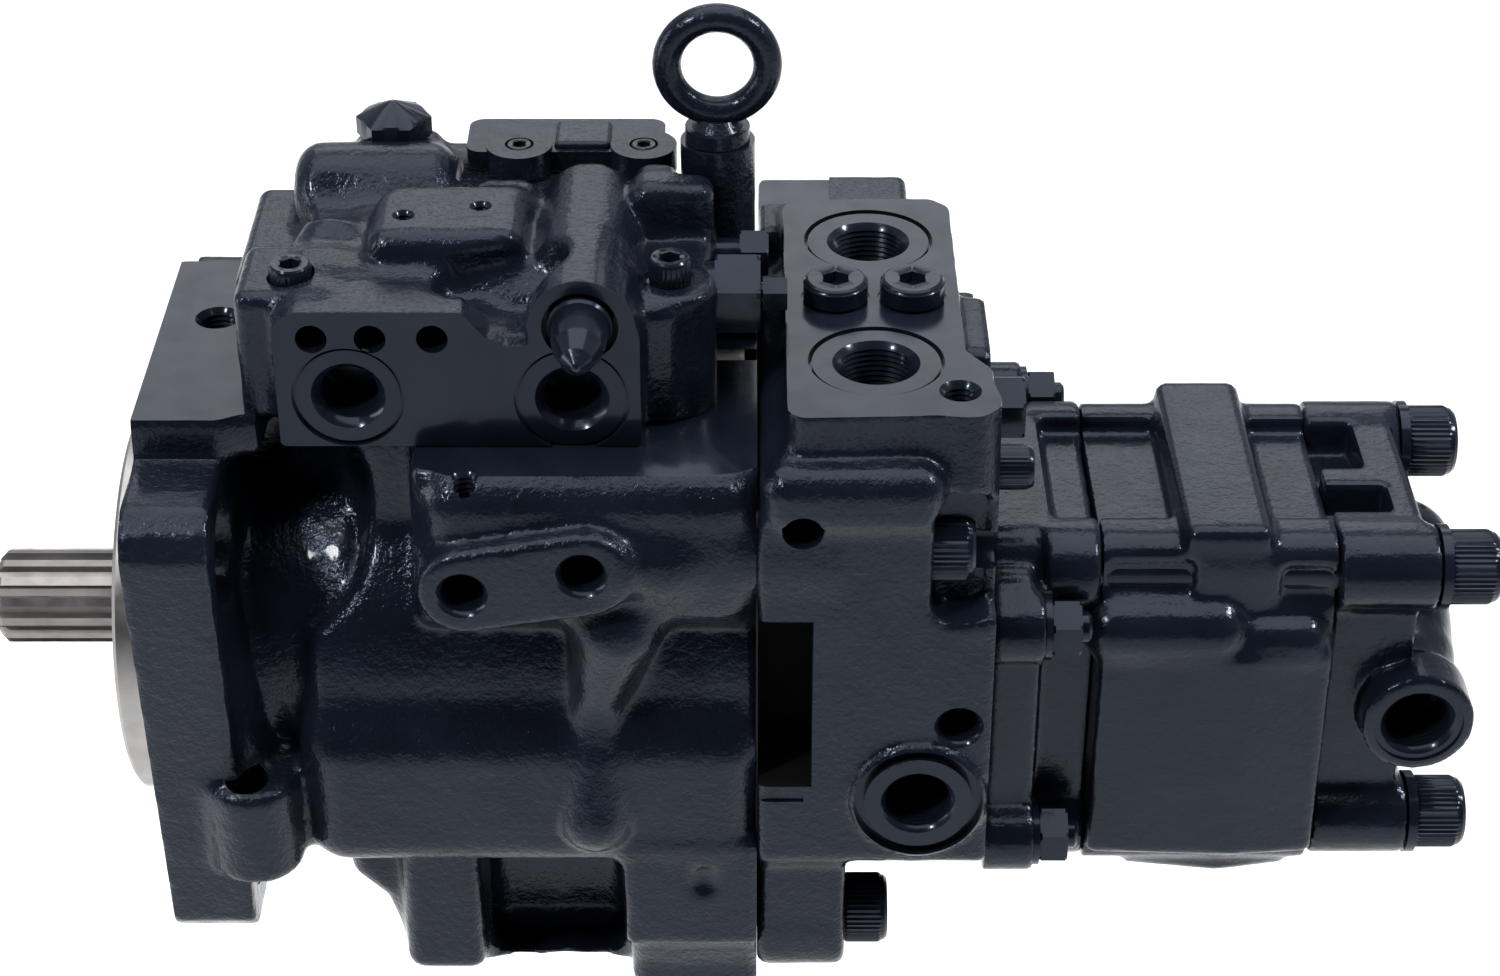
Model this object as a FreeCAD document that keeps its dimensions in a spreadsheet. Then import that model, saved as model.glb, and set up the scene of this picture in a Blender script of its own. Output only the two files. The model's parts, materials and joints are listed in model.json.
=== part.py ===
import FreeCAD, Part
import math
import os
import Sketcher
from FreeCAD import Placement, Rotation, Vector

os.makedirs("parts", exist_ok=True)
doc = FreeCAD.newDocument("axial_piston_pump")

# Frame: the shaft runs along X and its splined end points to -X. X = 0 is the mounting face.
# +Z is up and -Y is the front of the pump. Lengths are in millimetres.

# ---------------------------------------------------------------- driving dimensions
SIZES = {
    "pilot_dia": (127.0, "pilot spigot diameter"),
    "pilot_len": (12.7, "pilot spigot height"),
    "flange_thick": (26.0, "mounting flange thickness"),
    "flange_half": (90.0, "mounting flange half width across its ears"),
    "flange_low": (-83.0, "mounting flange lower edge"),
    "flange_high": (99.4, "mounting flange upper face"),
    "bolt_pitch": (114.5, "mounting bolt square, side"),
    "bolt_hole": (14.3, "mounting bolt hole diameter"),
    "case_end": (189.0, "joint between case and end cover"),
    "cavity_rad": (60.0, "case cavity radius"),
    "deck": (92.5, "height of the deck under the control valve"),
    "cover_end": (262.0, "rear face of the end cover"),
    "port_face": (113.0, "height of the main port face"),
    "port_pitch": (78.0, "distance between the two main ports"),
    "port_rad": (11.8, "main port bore radius"),
    "port_spot": (20.5, "main port spot face radius"),
    "adaptor_end": (297.0, "joint between adaptor and gear pump body"),
    "gear_body_end": (372.0, "joint between gear pump body and rear cover"),
    "rear_end": (404.0, "rear face of the gear pump cover"),
    "gear_centres": (34.0, "gear centre distance"),
    "gear_bore": (19.9, "gear pocket radius"),
    "shaft_end": (-61.0, "splined end of the shaft"),
    "block_rad": (52.0, "cylinder block radius"),
    "block_front": (104.0, "cylinder block front face"),
    "block_back": (179.8, "cylinder block rear face"),
    "piston_rad": (10.0, "piston radius"),
    "piston_pcd": (76.0, "piston pitch circle diameter"),
    "piston_fit": (0.04, "radial clearance of a piston in its bore"),
    "swash_face": (66.0, "running face of the swash plate"),
    "swash_rad": (50.0, "swash plate radius"),
    "cradle_rad": (34.0, "radius of the swash plate's rocking face"),
    "servo_height": (80.0, "height of the servo piston axis"),
    "servo_rad": (10.5, "servo piston radius"),
    "valve_front": (-56.0, "front face of the control valve"),
    "valve_top": (140.0, "top of the control valve block"),
    "eye_x": (177.0, "eyebolt axis, X"),
    "eye_y": (30.0, "eyebolt axis, Y"),
    "eye_seat": (153.5, "seat of the eyebolt collar"),
}

sheet = doc.addObject("Spreadsheet::Sheet", "Dims")
for row, (alias, (value, note)) in enumerate(SIZES.items(), start=1):
    sheet.set("A%d" % row, note)
    sheet.set("B%d" % row, str(value))
    sheet.setAlias("B%d" % row, alias)
doc.recompute()


def size(alias):
    """The current value of one driving dimension."""
    return float(sheet.get(alias))


def span(obj, prop, low, high):
    """Set a length from two ends, each a number or an expression on the sheet."""
    if isinstance(low, str) or isinstance(high, str):
        obj.setExpression(prop, "(%s) - (%s)" % (high, low))
    else:
        setattr(obj, prop, high - low)


def put(obj, base, rotation=None):
    """Place an object; each coordinate is a number or an expression on the sheet."""
    numbers = [0.0 if isinstance(c, str) else c for c in base]
    obj.Placement = Placement(Vector(*numbers), rotation or Rotation())
    for axis, coordinate in zip("xyz", base):
        if isinstance(coordinate, str):
            obj.setExpression("Placement.Base." + axis, coordinate)


TURN = {
    "X": Rotation(Vector(0, 1, 0), 90),
    "Y": Rotation(Vector(1, 0, 0), -90),
    "Z": Rotation(),
    "-X": Rotation(Vector(0, 1, 0), -90),
    "-Y": Rotation(Vector(1, 0, 0), 90),
    "-Z": Rotation(Vector(1, 0, 0), 180),
}


def box(name, x, y, z, radius=0, along=None):
    """A box from three (low, high) spans, with its edges along one axis rounded if asked."""
    obj = doc.addObject("Part::Box", name)
    span(obj, "Length", *x)
    span(obj, "Width", *y)
    span(obj, "Height", *z)
    put(obj, (x[0], y[0], z[0]))
    obj.recompute()
    return soften(obj, radius, along) if radius else obj


def rod(name, radius, length, base, axis="X", top=None):
    """A cylinder, or a cone if a top radius is given, from its base centre along one axis."""
    if top is None:
        obj = doc.addObject("Part::Cylinder", name)
        if isinstance(radius, str):
            obj.setExpression("Radius", radius)
        else:
            obj.Radius = radius
    else:
        obj = doc.addObject("Part::Cone", name)
        obj.Radius1 = radius
        obj.Radius2 = top
    if isinstance(length, str):
        obj.setExpression("Height", length)
    else:
        obj.Height = length
    put(obj, base, TURN[axis])
    obj.recompute()
    return obj


def prism(name, flats, length, base, axis="X", sides=6, spin=0):
    """A regular prism measured across its flats."""
    obj = doc.addObject("Part::Prism", name)
    obj.Polygon = sides
    obj.Circumradius = flats / 2 / math.cos(math.pi / sides)
    obj.Height = length
    put(obj, base, TURN[axis] * Rotation(Vector(0, 0, 1), spin))
    obj.recompute()
    return obj


def ball(name, radius, base):
    """A full sphere."""
    obj = doc.addObject("Part::Sphere", name)
    obj.Radius = radius
    put(obj, base)
    obj.recompute()
    return obj


def runs_along(edge, axis):
    """True if a straight edge lies along the named axis."""
    if edge.Curve.TypeId != "Part::GeomLine":
        return False
    step = edge.Vertexes[-1].Point - edge.Vertexes[0].Point
    return abs(getattr(step.normalize(), axis.lower())) > 0.999


def soften(obj, radius, along=None, kind="Part::Fillet"):
    """Round (or chamfer) every straight edge, or those along one axis."""
    made = doc.addObject(kind, obj.Name + "_soft")
    made.Base = obj
    picked = []
    for number, edge in enumerate(obj.Shape.Edges, start=1):
        if along is None or any(runs_along(edge, axis) for axis in along):
            picked.append((number, radius, radius))
    made.Edges = picked
    made.recompute()
    return made


def rim(obj, size_mm, at, axis="X", kind="Part::Chamfer"):
    """Chamfer or round the circular edges that lie at given positions on an axis."""
    made = doc.addObject(kind, obj.Name + "_rim")
    made.Base = obj
    picked = []
    for number, edge in enumerate(obj.Shape.Edges, start=1):
        limits = edge.BoundBox
        low = getattr(limits, axis + "Min")
        high = getattr(limits, axis + "Max")
        if high - low < 1e-4 and any(abs(low - place) < 1e-3 for place in at):
            picked.append((number, size_mm, size_mm))
    made.Edges = picked
    made.recompute()
    return made


def fuse(name, parts):
    obj = doc.addObject("Part::MultiFuse", name)
    obj.Shapes = parts
    obj.Refine = True
    obj.recompute()
    return obj


def cut(name, base, tools):
    tool = tools[0]
    if len(tools) > 1:
        tool = doc.addObject("Part::MultiFuse", name + "_tools")
        tool.Shapes = tools
        tool.recompute()
    obj = doc.addObject("Part::Cut", name)
    obj.Base = base
    obj.Tool = tool
    obj.Refine = True
    obj.recompute()
    return obj


def keep(name, shape):
    """A shape that neither a sketch nor a primitive can make."""
    obj = doc.addObject("Part::Feature", name)
    obj.Shape = shape
    return obj


def ring_of(name, source, angles, centre=(0, 0, 0), axis=(1, 0, 0)):
    """Copies of one shape turned about an axis, as one node of separate solids."""
    copies = []
    for angle in angles:
        copy = source.Shape.copy()
        copy.rotate(Vector(*centre), Vector(*axis), angle)
        copies.append(copy)
    return keep(name, Part.makeCompound(copies))


def copies_at(name, source, offsets):
    """Copies of one shape moved by each offset, as one node of separate solids."""
    copies = []
    for offset in offsets:
        copy = source.Shape.copy()
        copy.translate(Vector(*offset))
        copies.append(copy)
    return keep(name, Part.makeCompound(copies))


# ---------------------------------------------------------------- sketch based bodies
class Piece:
    """A PartDesign body built feature by feature."""

    def __init__(self, name):
        self.body = doc.addObject("PartDesign::Body", name)
        self.name = name
        self.count = 0

    def sketch(self, plane, shift=0):
        self.count += 1
        made = self.body.newObject("Sketcher::SketchObject", "%s_sketch%d" % (self.name, self.count))
        for feature in self.body.Origin.OriginFeatures:
            if feature.Role == plane:
                made.AttachmentSupport = [(feature, "")]
        made.MapMode = "FlatFace"
        if isinstance(shift, str):
            made.setExpression("AttachmentOffset.Base.z", shift)
        else:
            made.AttachmentOffset = Placement(Vector(0, 0, shift), Rotation())
        return made

    def feature(self, kind, profile, **values):
        self.count += 1
        made = self.body.newObject("PartDesign::" + kind, "%s_%s%d" % (self.name, kind, self.count))
        made.Profile = profile
        for prop, value in values.items():
            if isinstance(value, str) and prop not in ("Type",):
                made.setExpression(prop, value)
            else:
                setattr(made, prop, value)
        doc.recompute()
        return made

    def revolve(self, points, groove=False):
        """Turn a closed outline of (x, radius) points about the X axis."""
        profile = self.sketch("XZ_Plane")
        outline(profile, points)
        doc.recompute()
        made = self.feature("Groove" if groove else "Revolution", profile, Angle=360.0)
        made.ReferenceAxis = (profile, ["H_Axis"])
        doc.recompute()
        return made

    def pattern(self, original, count, profile):
        self.count += 1
        made = self.body.newObject("PartDesign::PolarPattern", "%s_pattern%d" % (self.name, self.count))
        made.Originals = [original]
        made.Axis = (profile, ["N_Axis"])
        made.Angle = 360.0
        made.Occurrences = count
        self.body.Tip = made
        doc.recompute()
        return made


def outline(profile, points):
    """A closed polygon in a sketch."""
    count = len(points)
    for index, point in enumerate(points):
        after = points[(index + 1) % count]
        profile.addGeometry(Part.LineSegment(Vector(*point, 0), Vector(*after, 0)), False)
    for index in range(count):
        profile.addConstraint(Sketcher.Constraint("Coincident", index, 2, (index + 1) % count, 1))


def circle(profile, x, y, radius):
    """A circle in a sketch, its radius held by a constraint bound to a number or an expression."""
    start = 10.0 if isinstance(radius, str) else radius
    shape = Part.Circle(Vector(x, y, 0), Vector(0, 0, 1), start)
    index = profile.addGeometry(shape, False)
    constraint = profile.addConstraint(Sketcher.Constraint("Radius", index, start))
    if isinstance(radius, str):
        profile.setExpression("Constraints[%d]" % constraint, radius)


NODES = []


def node(obj, name):
    """Name a finished sub-part; the name is also its file's name."""
    result = obj.body if isinstance(obj, Piece) else obj
    result.Label = name
    NODES.append((name, result))


# ---------------------------------------------------------------- main case
def main_case():
    flange = flange_plate()
    spigot = rod("spigot", "Dims.pilot_dia / 2", "Dims.pilot_len + 5", ("-Dims.pilot_len", 0, 0))
    spigot = rim(spigot, 1.2, [-size("pilot_len")])
    neck = rod("neck", 64, 38, (24, 0, 0), "X", 73)
    barrel = rod("barrel", 73, "Dims.case_end - 60", (60, 0, 0))
    crown = box("crown", (33, "Dims.case_end"), (-45, 66), (0, "Dims.deck"), 10, "X")
    brow = box("brow", (84, "Dims.case_end"), (-66, 0), (30, "Dims.deck"), 6, "X")
    top_pad = box("top_pad", (0, 38), (-50, 38), (80, "Dims.flange_high"))
    front = box("front", (84, "Dims.case_end"), (-82, 0), (36, 84), 5, "XZ")
    ledge = box("ledge", (66, "Dims.case_end"), (-83, 0), (-52, -8), 6, "XZ")
    belly = box("belly", (60, "Dims.case_end"), (-58, 58), (-98, 0), 14, "X")
    foot_a = box("foot_a", (74, "Dims.case_end"), (-60, 60), (-112, -60), 8, "XYZ")
    foot_b = box("foot_b", (148, "Dims.case_end"), (-80, 60), (-86, -40), 6, "XYZ")
    rear = box("rear", (84, "Dims.case_end"), (0, 82), (-52, 84), 12, "X")
    pad = box("pad", (88, 152), (-88, -70), (48, 77), 8, "XY")
    pad_top = box("pad_top", (84, 168), (-84, -60), (78, 92.5), 4, "X")
    lobe = rod("lobe", 15, 32, (30, -75, -48), "Z")
    lobe_root = box("lobe_root", (18, 46), (-78, -40), (-48, -16), 6, "Z")
    tongue = keep("tongue", tongue_shape())
    pillar = rod("pillar", 11.5, "Dims.eye_seat - 60", ("Dims.eye_x", "Dims.eye_y", 60), "Z")
    rib = box("rib", (160, 189), (20, 44), (60, 104), 6, "X")
    joint_ears = []
    for number, (y, z) in enumerate(SCREW_SPOTS):
        joint_ears.append(rod("ear%d" % number, 15, 34, (155, y, z)))
    solid = fuse("case_solid", [flange, spigot, neck, barrel, crown, brow, top_pad, front, ledge, belly,
                                foot_a, foot_b, rear, pad, pad_top, lobe, lobe_root, tongue,
                                pillar, rib] + joint_ears)
    tools = [
        rod("cavity", "Dims.cavity_rad", "Dims.case_end - 62", (62, 0, 0)),
        rod("cavity_front", 58.0, 40, (29, 0, 0)),
        rod("bearing_seat", 36.0, 20, (9.5, 0, 0)),
        rod("seal_seat", 26.0, 12, (-2.2, 0, 0)),
        rod("seal_mouth", 27.5, 2.2, (-4.4, 0, 0)),
        rod("nose", 26.0, 12, (-13.5, 0, 0)),
        rod("servo_bore", "Dims.servo_rad + 0.03", 118, (47, 0, "Dims.servo_height")),
        rod("servo_mouth", 13.0, 30, (160, 0, "Dims.servo_height")),
        box("servo_slot", (54, 106), (-7, 7), (50, 76)),
        rod("lobe_hole", 7, 22, (29, -80, -36), "Z"),
        rod("drain_hole", 6.0, 22, (17.4, 11.6, 80), "Z"),
        rod("pad_hole_a", 7, 22, (101, -90, 60), "Y"),
        rod("pad_hole_b", 7, 22, (137, -90, 67), "Y"),
        rod("small_hole", 3.4, 14, (102.3, -73.8, 80), "Z"),
        rod("eye_hole", 5.0, 50, ("Dims.eye_x", "Dims.eye_y", 108), "Z"),
        box("pocket", (101, 144), (-66, -36), (-106, -62), 6, "Y"),
        rod("case_drain", 7.5, 30, (120, 0, -108), "Z"),
    ]
    half = size("bolt_pitch") / 2
    for y in (-half, half):
        for z in (-half, half):
            tools.append(rod("flange_hole", "Dims.bolt_hole / 2", 40, (-2, y, z)))
            scallop = rod("scallop", 15.0, 40, ("Dims.flange_thick", y, z))
            tools.append(rim(scallop, 8.0, [size("flange_thick") + 40], "X", "Part::Fillet"))
    for y, z in SCREW_SPOTS:
        tools.append(rod("thread", 6.5, 40, (150, y, z)))
    for x, y in VALVE_SPOTS:
        tools.append(rod("valve_thread", 3.6, 24, (x, y, 72), "Z"))
    for x in (60, 110, 150):
        tools.append(rod("gallery", 4, 14, (x, -30, 80), "Z"))
    node(cut("main_case_cut", solid, tools), "main_case")


def flange_plate():
    """The square mounting flange: an ear at each bolt and a raised middle at the top."""
    half = size("flange_half")
    low = size("flange_low")
    high = size("flange_high")
    side = [(50, high), (52, 85), (79, 85), (half - 3, 80), (half, 72), (half - 14, low + 6), (half - 20, low)]
    plate = Piece("flange_body")
    profile = plate.sketch("YZ_Plane")
    outline(profile, [(-y, z) for y, z in side] + [(y, z) for y, z in side[::-1]])
    doc.recompute()
    plate.feature("Pad", profile, Length="Dims.flange_thick")
    return plate.body


def tongue_shape():
    """The tapering fairing that runs down the front of the case."""
    low = Part.makePolygon([Vector(x, y, -44) for x, y in
                            ((139, -70), (150, -70), (148, -88), (141, -88), (139, -70))])
    high = Part.makePolygon([Vector(x, y, 50) for x, y in
                             ((127, -70), (160, -70), (155, -89), (132, -89), (127, -70))])
    return Part.makeLoft([low, high], True)


SCREW_SPOTS = ((-66, 64), (-60, -84), (66, 64), (60, -84))
VALVE_SPOTS = ((49.5, -34), (163, -27), (51, 46), (150, 46))


# ---------------------------------------------------------------- end cover
def end_cover():
    body = box("cover_body", ("Dims.case_end + 0.8", "Dims.cover_end"), (-82, 78), (-50, 92), 7, "X")
    head = port_head()
    low = box("cover_low", ("Dims.case_end + 0.8", 218), (-78, 78), (-100, 0), 14, "X")
    chin = box("cover_chin", (200, "Dims.cover_end"), (-44, 44), (-76, 0), 10, "X")
    back = box("cover_back", (189.8, 240), (50, 93), (40, 110), 4, "X")
    shelf = box("cover_shelf", (190, 254), (-85, -60), (84, 92), 3, "X")
    boss = rod("cover_boss", 19, 12, (240, -74, -21.5), "-Y")
    inner = rod("cover_inner", 54, 6, (184.6, 0, 0))
    lobes = []
    for number, (y, z) in enumerate(SCREW_SPOTS):
        lobes.append(rod("cover_lobe%d" % number, 15, 24, (189.8, y, z)))
    fairing = rod("fairing", 22, 72.2, (189.8, -64, 22))
    tail = rod("tail", 52, 8, (254, 0, -16))
    solid = fuse("cover_solid", [body, head, low, chin, back, shelf, boss, inner, fairing, tail] + lobes)
    half = size("port_pitch") / 2
    tools = [
        rod("rear_bearing_seat", 26.0, 16.4, (191.6, 0, 0)),
        rod("rear_clear", 20.0, 90, (180, 0, 0)),
        rod("cover_front_port", 11, 30, (240, -88, -21.5), "Y"),
        rod("cover_front_spot", 14.5, 3, (240, -88, -21.5), "Y"),
        rod("cover_hole_a", 7, 20, (203, -90, 79), "Y"),
        rod("cover_hole_b", 7, 20, (252, -84, 6), "Y"),
        rod("cover_thread", 5, 20, (250, -57, 95), "Z"),
        box("cover_slot", (189, 206.5), (-90, -64), (-17, 46)),
        box("screw_pocket", (241, 275), (-95, -52), (50, 78), 8, "X"),
        box("screw_pocket_b", (241, 275), (52, 95), (50, 78), 8, "X"),
    ]
    for side in (-1, 1):
        y = side * half
        tools.append(rod("port", "Dims.port_rad", 40, (225.5, y, 74), "Z"))
        tools.append(rod("port_recess", "Dims.port_spot", 1.6, (225.5, y, "Dims.port_face - 1.6"), "Z"))
        kidney = box("kidney", (184, 232), (y - 7 if side > 0 else y - 13, y + 13 if side > 0 else y + 7),
                     (-14, 14), 6, "X")
        tools.append(kidney)
        tools.append(rod("gallery", 11, 90, (226, y, -6), "Z"))
    for x in (214, 238):
        tools.append(rod("plug_hole", 7.0, 14, (x, 0, 99.5), "Z"))
    for y, z in SCREW_SPOTS:
        tools.append(rod("screw_way", 7.5, 70, (188, y, z)))
    tools.append(rod("rear_bolt_way", 5.04, 20, (244, -15, 82)))
    tools.append(rod("rear_plug_way", 4.94, 20, (246, -44, 78)))
    for y, z in STUD_SPOTS:
        tools.append(rod("stud_way", 5.0, 18, (245, y, z)))
    node(cut("end_cover_cut", solid, tools), "end_cover")


def port_head():
    """The raised block that carries the two main ports."""
    block = Piece("port_head_body")
    profile = block.sketch("XY_Plane", 60)
    outline(profile, [(198, 62), (202, 67), (247, 68), (253, 62), (253, -33), (260.5, -44), (260.5, -66),
                      (256, -71), (202, -73), (198, -69)])
    doc.recompute()
    block.feature("Pad", profile, Length="Dims.port_face - 60")
    return block.body


STUD_SPOTS = ((-57, 27), (57, 43), (-57, -55), (57, -55))


# ---------------------------------------------------------------- control valve
def control_valve():
    base = box("valve_base", (45.5, 154.5), ("Dims.valve_front", 60), ("Dims.deck + 0.5", 127.5), 4, "Z")
    left = box("valve_left", (45.5, 103), ("Dims.valve_front", 0), (93, 139), 5, "Y")
    wing = box("valve_wing", (33, 60), (-46, -14), (100, 137), 5, "Z")
    deck = box("valve_deck", (50, 153), (-31, 60), (110, "Dims.valve_top"), 6, "XYZ")
    pad = box("valve_pad", (71, 120), (-30, 12), (130, 149.5), 5, "XYZ")
    hump_x = rod("hump_x", 17, 52, (43, 34, 138))
    hump_y = rod("hump_y", 15.5, 75, (137, -55.8, 134), "Y")
    step = box("valve_step", (28, 52), (-14, 50), (106, 127), 4, "XYZ")
    corner = rod("valve_corner", 12.5, 41, (164, -28, 93), "Z")
    right = box("valve_right", (150, 176), (-30, 18), (93, 134), 6, "XYZ")
    tower = box("valve_tower", (151, 176), (4, 17.5), (110, 148), 4, "XYZ")
    tower_back = box("valve_tower_back", (151, 164.5), (4, 24.5), (110, 148), 4, "XYZ")
    solid = fuse("valve_solid", [base, left, wing, deck, pad, hump_x, hump_y, step, corner, right, tower, tower_back])
    tools = [
        rod("valve_port_a", 9.5, 24, (67, -60, 110), "Y"),
        rod("valve_port_b", 9.5, 24, (134, -60, 109), "Y"),
        rod("valve_spot_a", 16.8, 1.2, (67, -56.2, 110), "Y"),
        rod("valve_spot_b", 16.8, 1.2, (134, -56.2, 109), "Y"),
        rod("pressure_bore", 7.03, 110, (68, -12, 121)),
        rod("pressure_mouth", 10.5, 30, (150, -12, 121)),
        rod("flow_bore", 6.03, 100, (137, -60, 134), "Y"),
        rod("flow_mouth", 10, 20, (137, -66, 134), "Y"),
        rod("side_plug_bore", 5.05, 32, (157, 9, 124)),
        rod("hex_cap_bore", 6.05, 40, (73, 50, 126), "Z"),
        rod("hex_cap_seat", 12.8, 20, (73, 50, 144.9), "Z"),
    ]
    for x in (57.4, 74.8, 93.2):
        tools.append(rod("valve_hole", 4.6, 18, (x, -60, 130), "Y"))
    for x, y in VALVE_SPOTS:
        tools.append(rod("valve_way", 4.6, 60, (x, y, 90), "Z"))
    tools.append(rod("valve_sink", 7.2, 12, (*VALVE_SPOTS[0], 135.5), "Z"))
    for x, y in ((51, 46), (150, 46)):
        tools.append(rod("valve_sink_b", 7.2, 60, (x, y, 130), "Z"))
    for x, y in PAD_SPOTS:
        tools.append(rod("pad_thread", 2.6, 12, (x, y, 140), "Z"))
    for x in (114, 153.5):
        tools.append(rod("plate_thread", 2.6, 16, (x, 36, 130), "Z"))
    node(cut("control_valve_cut", solid, tools), "control_valve_body")


PAD_SPOTS = ((82, -14), (105, -8))


def valve_cover():
    plate = box("cover_plate", (97, 160), (34, 58), (140.6, 147), 5, "Z")
    ear_a = rod("cover_ear_a", 10.5, 8.2, (114, 36, 140.6), "Z")
    ear_b = rod("cover_ear_b", 10.5, 8.2, (153.5, 36, 140.6), "Z")
    rib = box("cover_rib", (125, 143), (36, 54), (143, 149), 2, "XYZ")
    solid = fuse("cover_plate_solid", [plate, ear_a, ear_b, rib])
    tools = []
    for x in (114, 153.5):
        tools.append(rod("ear_hole", 2.6, 30, (x, 36, 130), "Z"))
        tools.append(rod("ear_recess", 4.6, 10, (x, 36, 144.6), "Z"))
    node(cut("cover_plate_cut", solid, tools), "valve_cover_plate")


# ---------------------------------------------------------------- gear pump castings
def adaptor():
    disc = rod("adaptor_disc", 50, 12, ("Dims.cover_end + 0.8", 0, -17))
    core = box("adaptor_core", (262.8, "Dims.adaptor_end"), (-46, 46), (-78, 50), 12, "X")
    flank = box("adaptor_flank", (262.8, 279), (-58, 58), (-60, 38), 12, "X")
    bosses = []
    for number, (y, z) in enumerate(STUD_SPOTS):
        bosses.append(rod("adaptor_boss%d" % number, 12, 16.2, (262.8, y, z)))
    dome = rod("adaptor_dome", 8, 5, (271, -50, 34), "Z")
    solid = fuse("adaptor_solid", [disc, core, flank, dome] + bosses)
    tools = [
        rod("adaptor_bore", 22, 40, (260, 0, 0)),
        box("adaptor_window", (272, 293), (-27, 27), (42, 60), 5, "Z"),
        box("adaptor_side", (281, "Dims.adaptor_end - 3"), (-60, -43), (-44, 20), 5, "X"),
        box("adaptor_side_b", (281, "Dims.adaptor_end - 3"), (43, 60), (-44, 20), 5, "X"),
    ]
    for y, z in STUD_SPOTS:
        tools.append(rod("adaptor_way", 5.4, 60, (255, y, z)))
    for y, z in PUMP_SPOTS:
        tools.append(rod("adaptor_thread", 8.04, 26, (279, y, z)))
    node(cut("adaptor_cut", solid, tools), "gear_pump_adaptor")


PUMP_SPOTS = ((-38, 37), (38, 37), (-38, -61), (38, -61))


def gear_pump_body():
    start = "Dims.adaptor_end + 0.6"
    end = "Dims.gear_body_end"
    core = box("pump_core", (start, end), (-48, 48), (-78, 50), 12, "X")
    front = box("pump_front", (start, end), (-57, 57), (-66, 20), 8, "X")
    rib = box("pump_rib", (323, 351), (-47, 47), (-82, 56), 5, "XY")
    hump_a = rod("pump_hump_a", 12, 44, (298, -46, 22))
    hump_b = rod("pump_hump_b", 10, 24, (345, -48, 20))
    hump_c = rod("pump_hump_c", 12, 44, (298, 46, 22))
    base = box("pump_base", (312, 367), (-40, 40), (-85, -70), 5, "XY")
    solid = fuse("pump_solid", [core, front, rib, hump_a, hump_b, hump_c, base])
    tools = [
        box("pump_window", (290, 322.5), (-29, 31), (44, 60), 3, "Z"),
        box("pump_window_b", (352, 380), (-29, 30), (45, 60), 4, "Z"),
    ]
    for z in (0, "-Dims.gear_centres"):
        tools.append(rod("gear_pocket", "Dims.gear_bore", 90, (290, 0, z)))
    for y, z in PUMP_SPOTS:
        tools.append(rod("pump_way", 8.3, 90, (285, y, z)))
    tools.append(rod("pump_port", 11, 22, (335, 37, -17), "Y"))
    tools.append(rod("pump_passage", 8, 30, (335, 10, -17), "Y"))
    node(cut("pump_body_cut", solid, tools), "gear_pump_body")


def rear_cover():
    start = "Dims.gear_body_end + 0.6"
    core = box("rear_core", (start, "Dims.rear_end - 4"), (-42, 42), (-77, 49), 12, "X")
    mid = box("rear_mid", (start, "Dims.rear_end"), (-26, 26), (-70, 40), 8, "X")
    hump = rod("rear_hump", 20, 23, ("Dims.rear_end - 6", 4, 12))
    hump_round = rim(hump, 8, [size("rear_end") + 17], "X", "Part::Fillet")
    ears = []
    for number, (y, z) in enumerate(PUMP_SPOTS):
        ears.append(rod("rear_ear%d" % number, 13.5, "Dims.rear_end - Dims.gear_body_end - 0.6", (start, y, z)))
    port = rod("rear_port", 18, 40, (402, -14, -14), "-Y")
    solid = fuse("rear_solid", [core, mid, hump_round, port] + ears)
    tools = [
        rod("rear_port_bore", 11, 24, (402, -56, -14), "Y"),
        rod("rear_port_spot", 14, 1.5, (402, -54.5, -14), "Y"),
        rod("rear_passage", 8, 24, (402, -36, -14), "Y"),
        rod("rear_gallery", 8, 32, (370, -14, -14)),
        box("rear_window", (371, 386), (4, 28), (36, 60), 3, "Z"),
        box("rear_window_b", (371, 392), (-24, -10), (36, 60), 3, "Z"),
    ]
    for z in (0, "-Dims.gear_centres"):
        tools.append(rod("rear_bush_clear", 9.4, 12, (371, 0, z)))
    for y, z in PUMP_SPOTS:
        tools.append(rod("rear_way", 8.3, 60, (368, y, z)))
    node(cut("rear_cut", solid, tools), "gear_pump_rear_cover")


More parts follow.
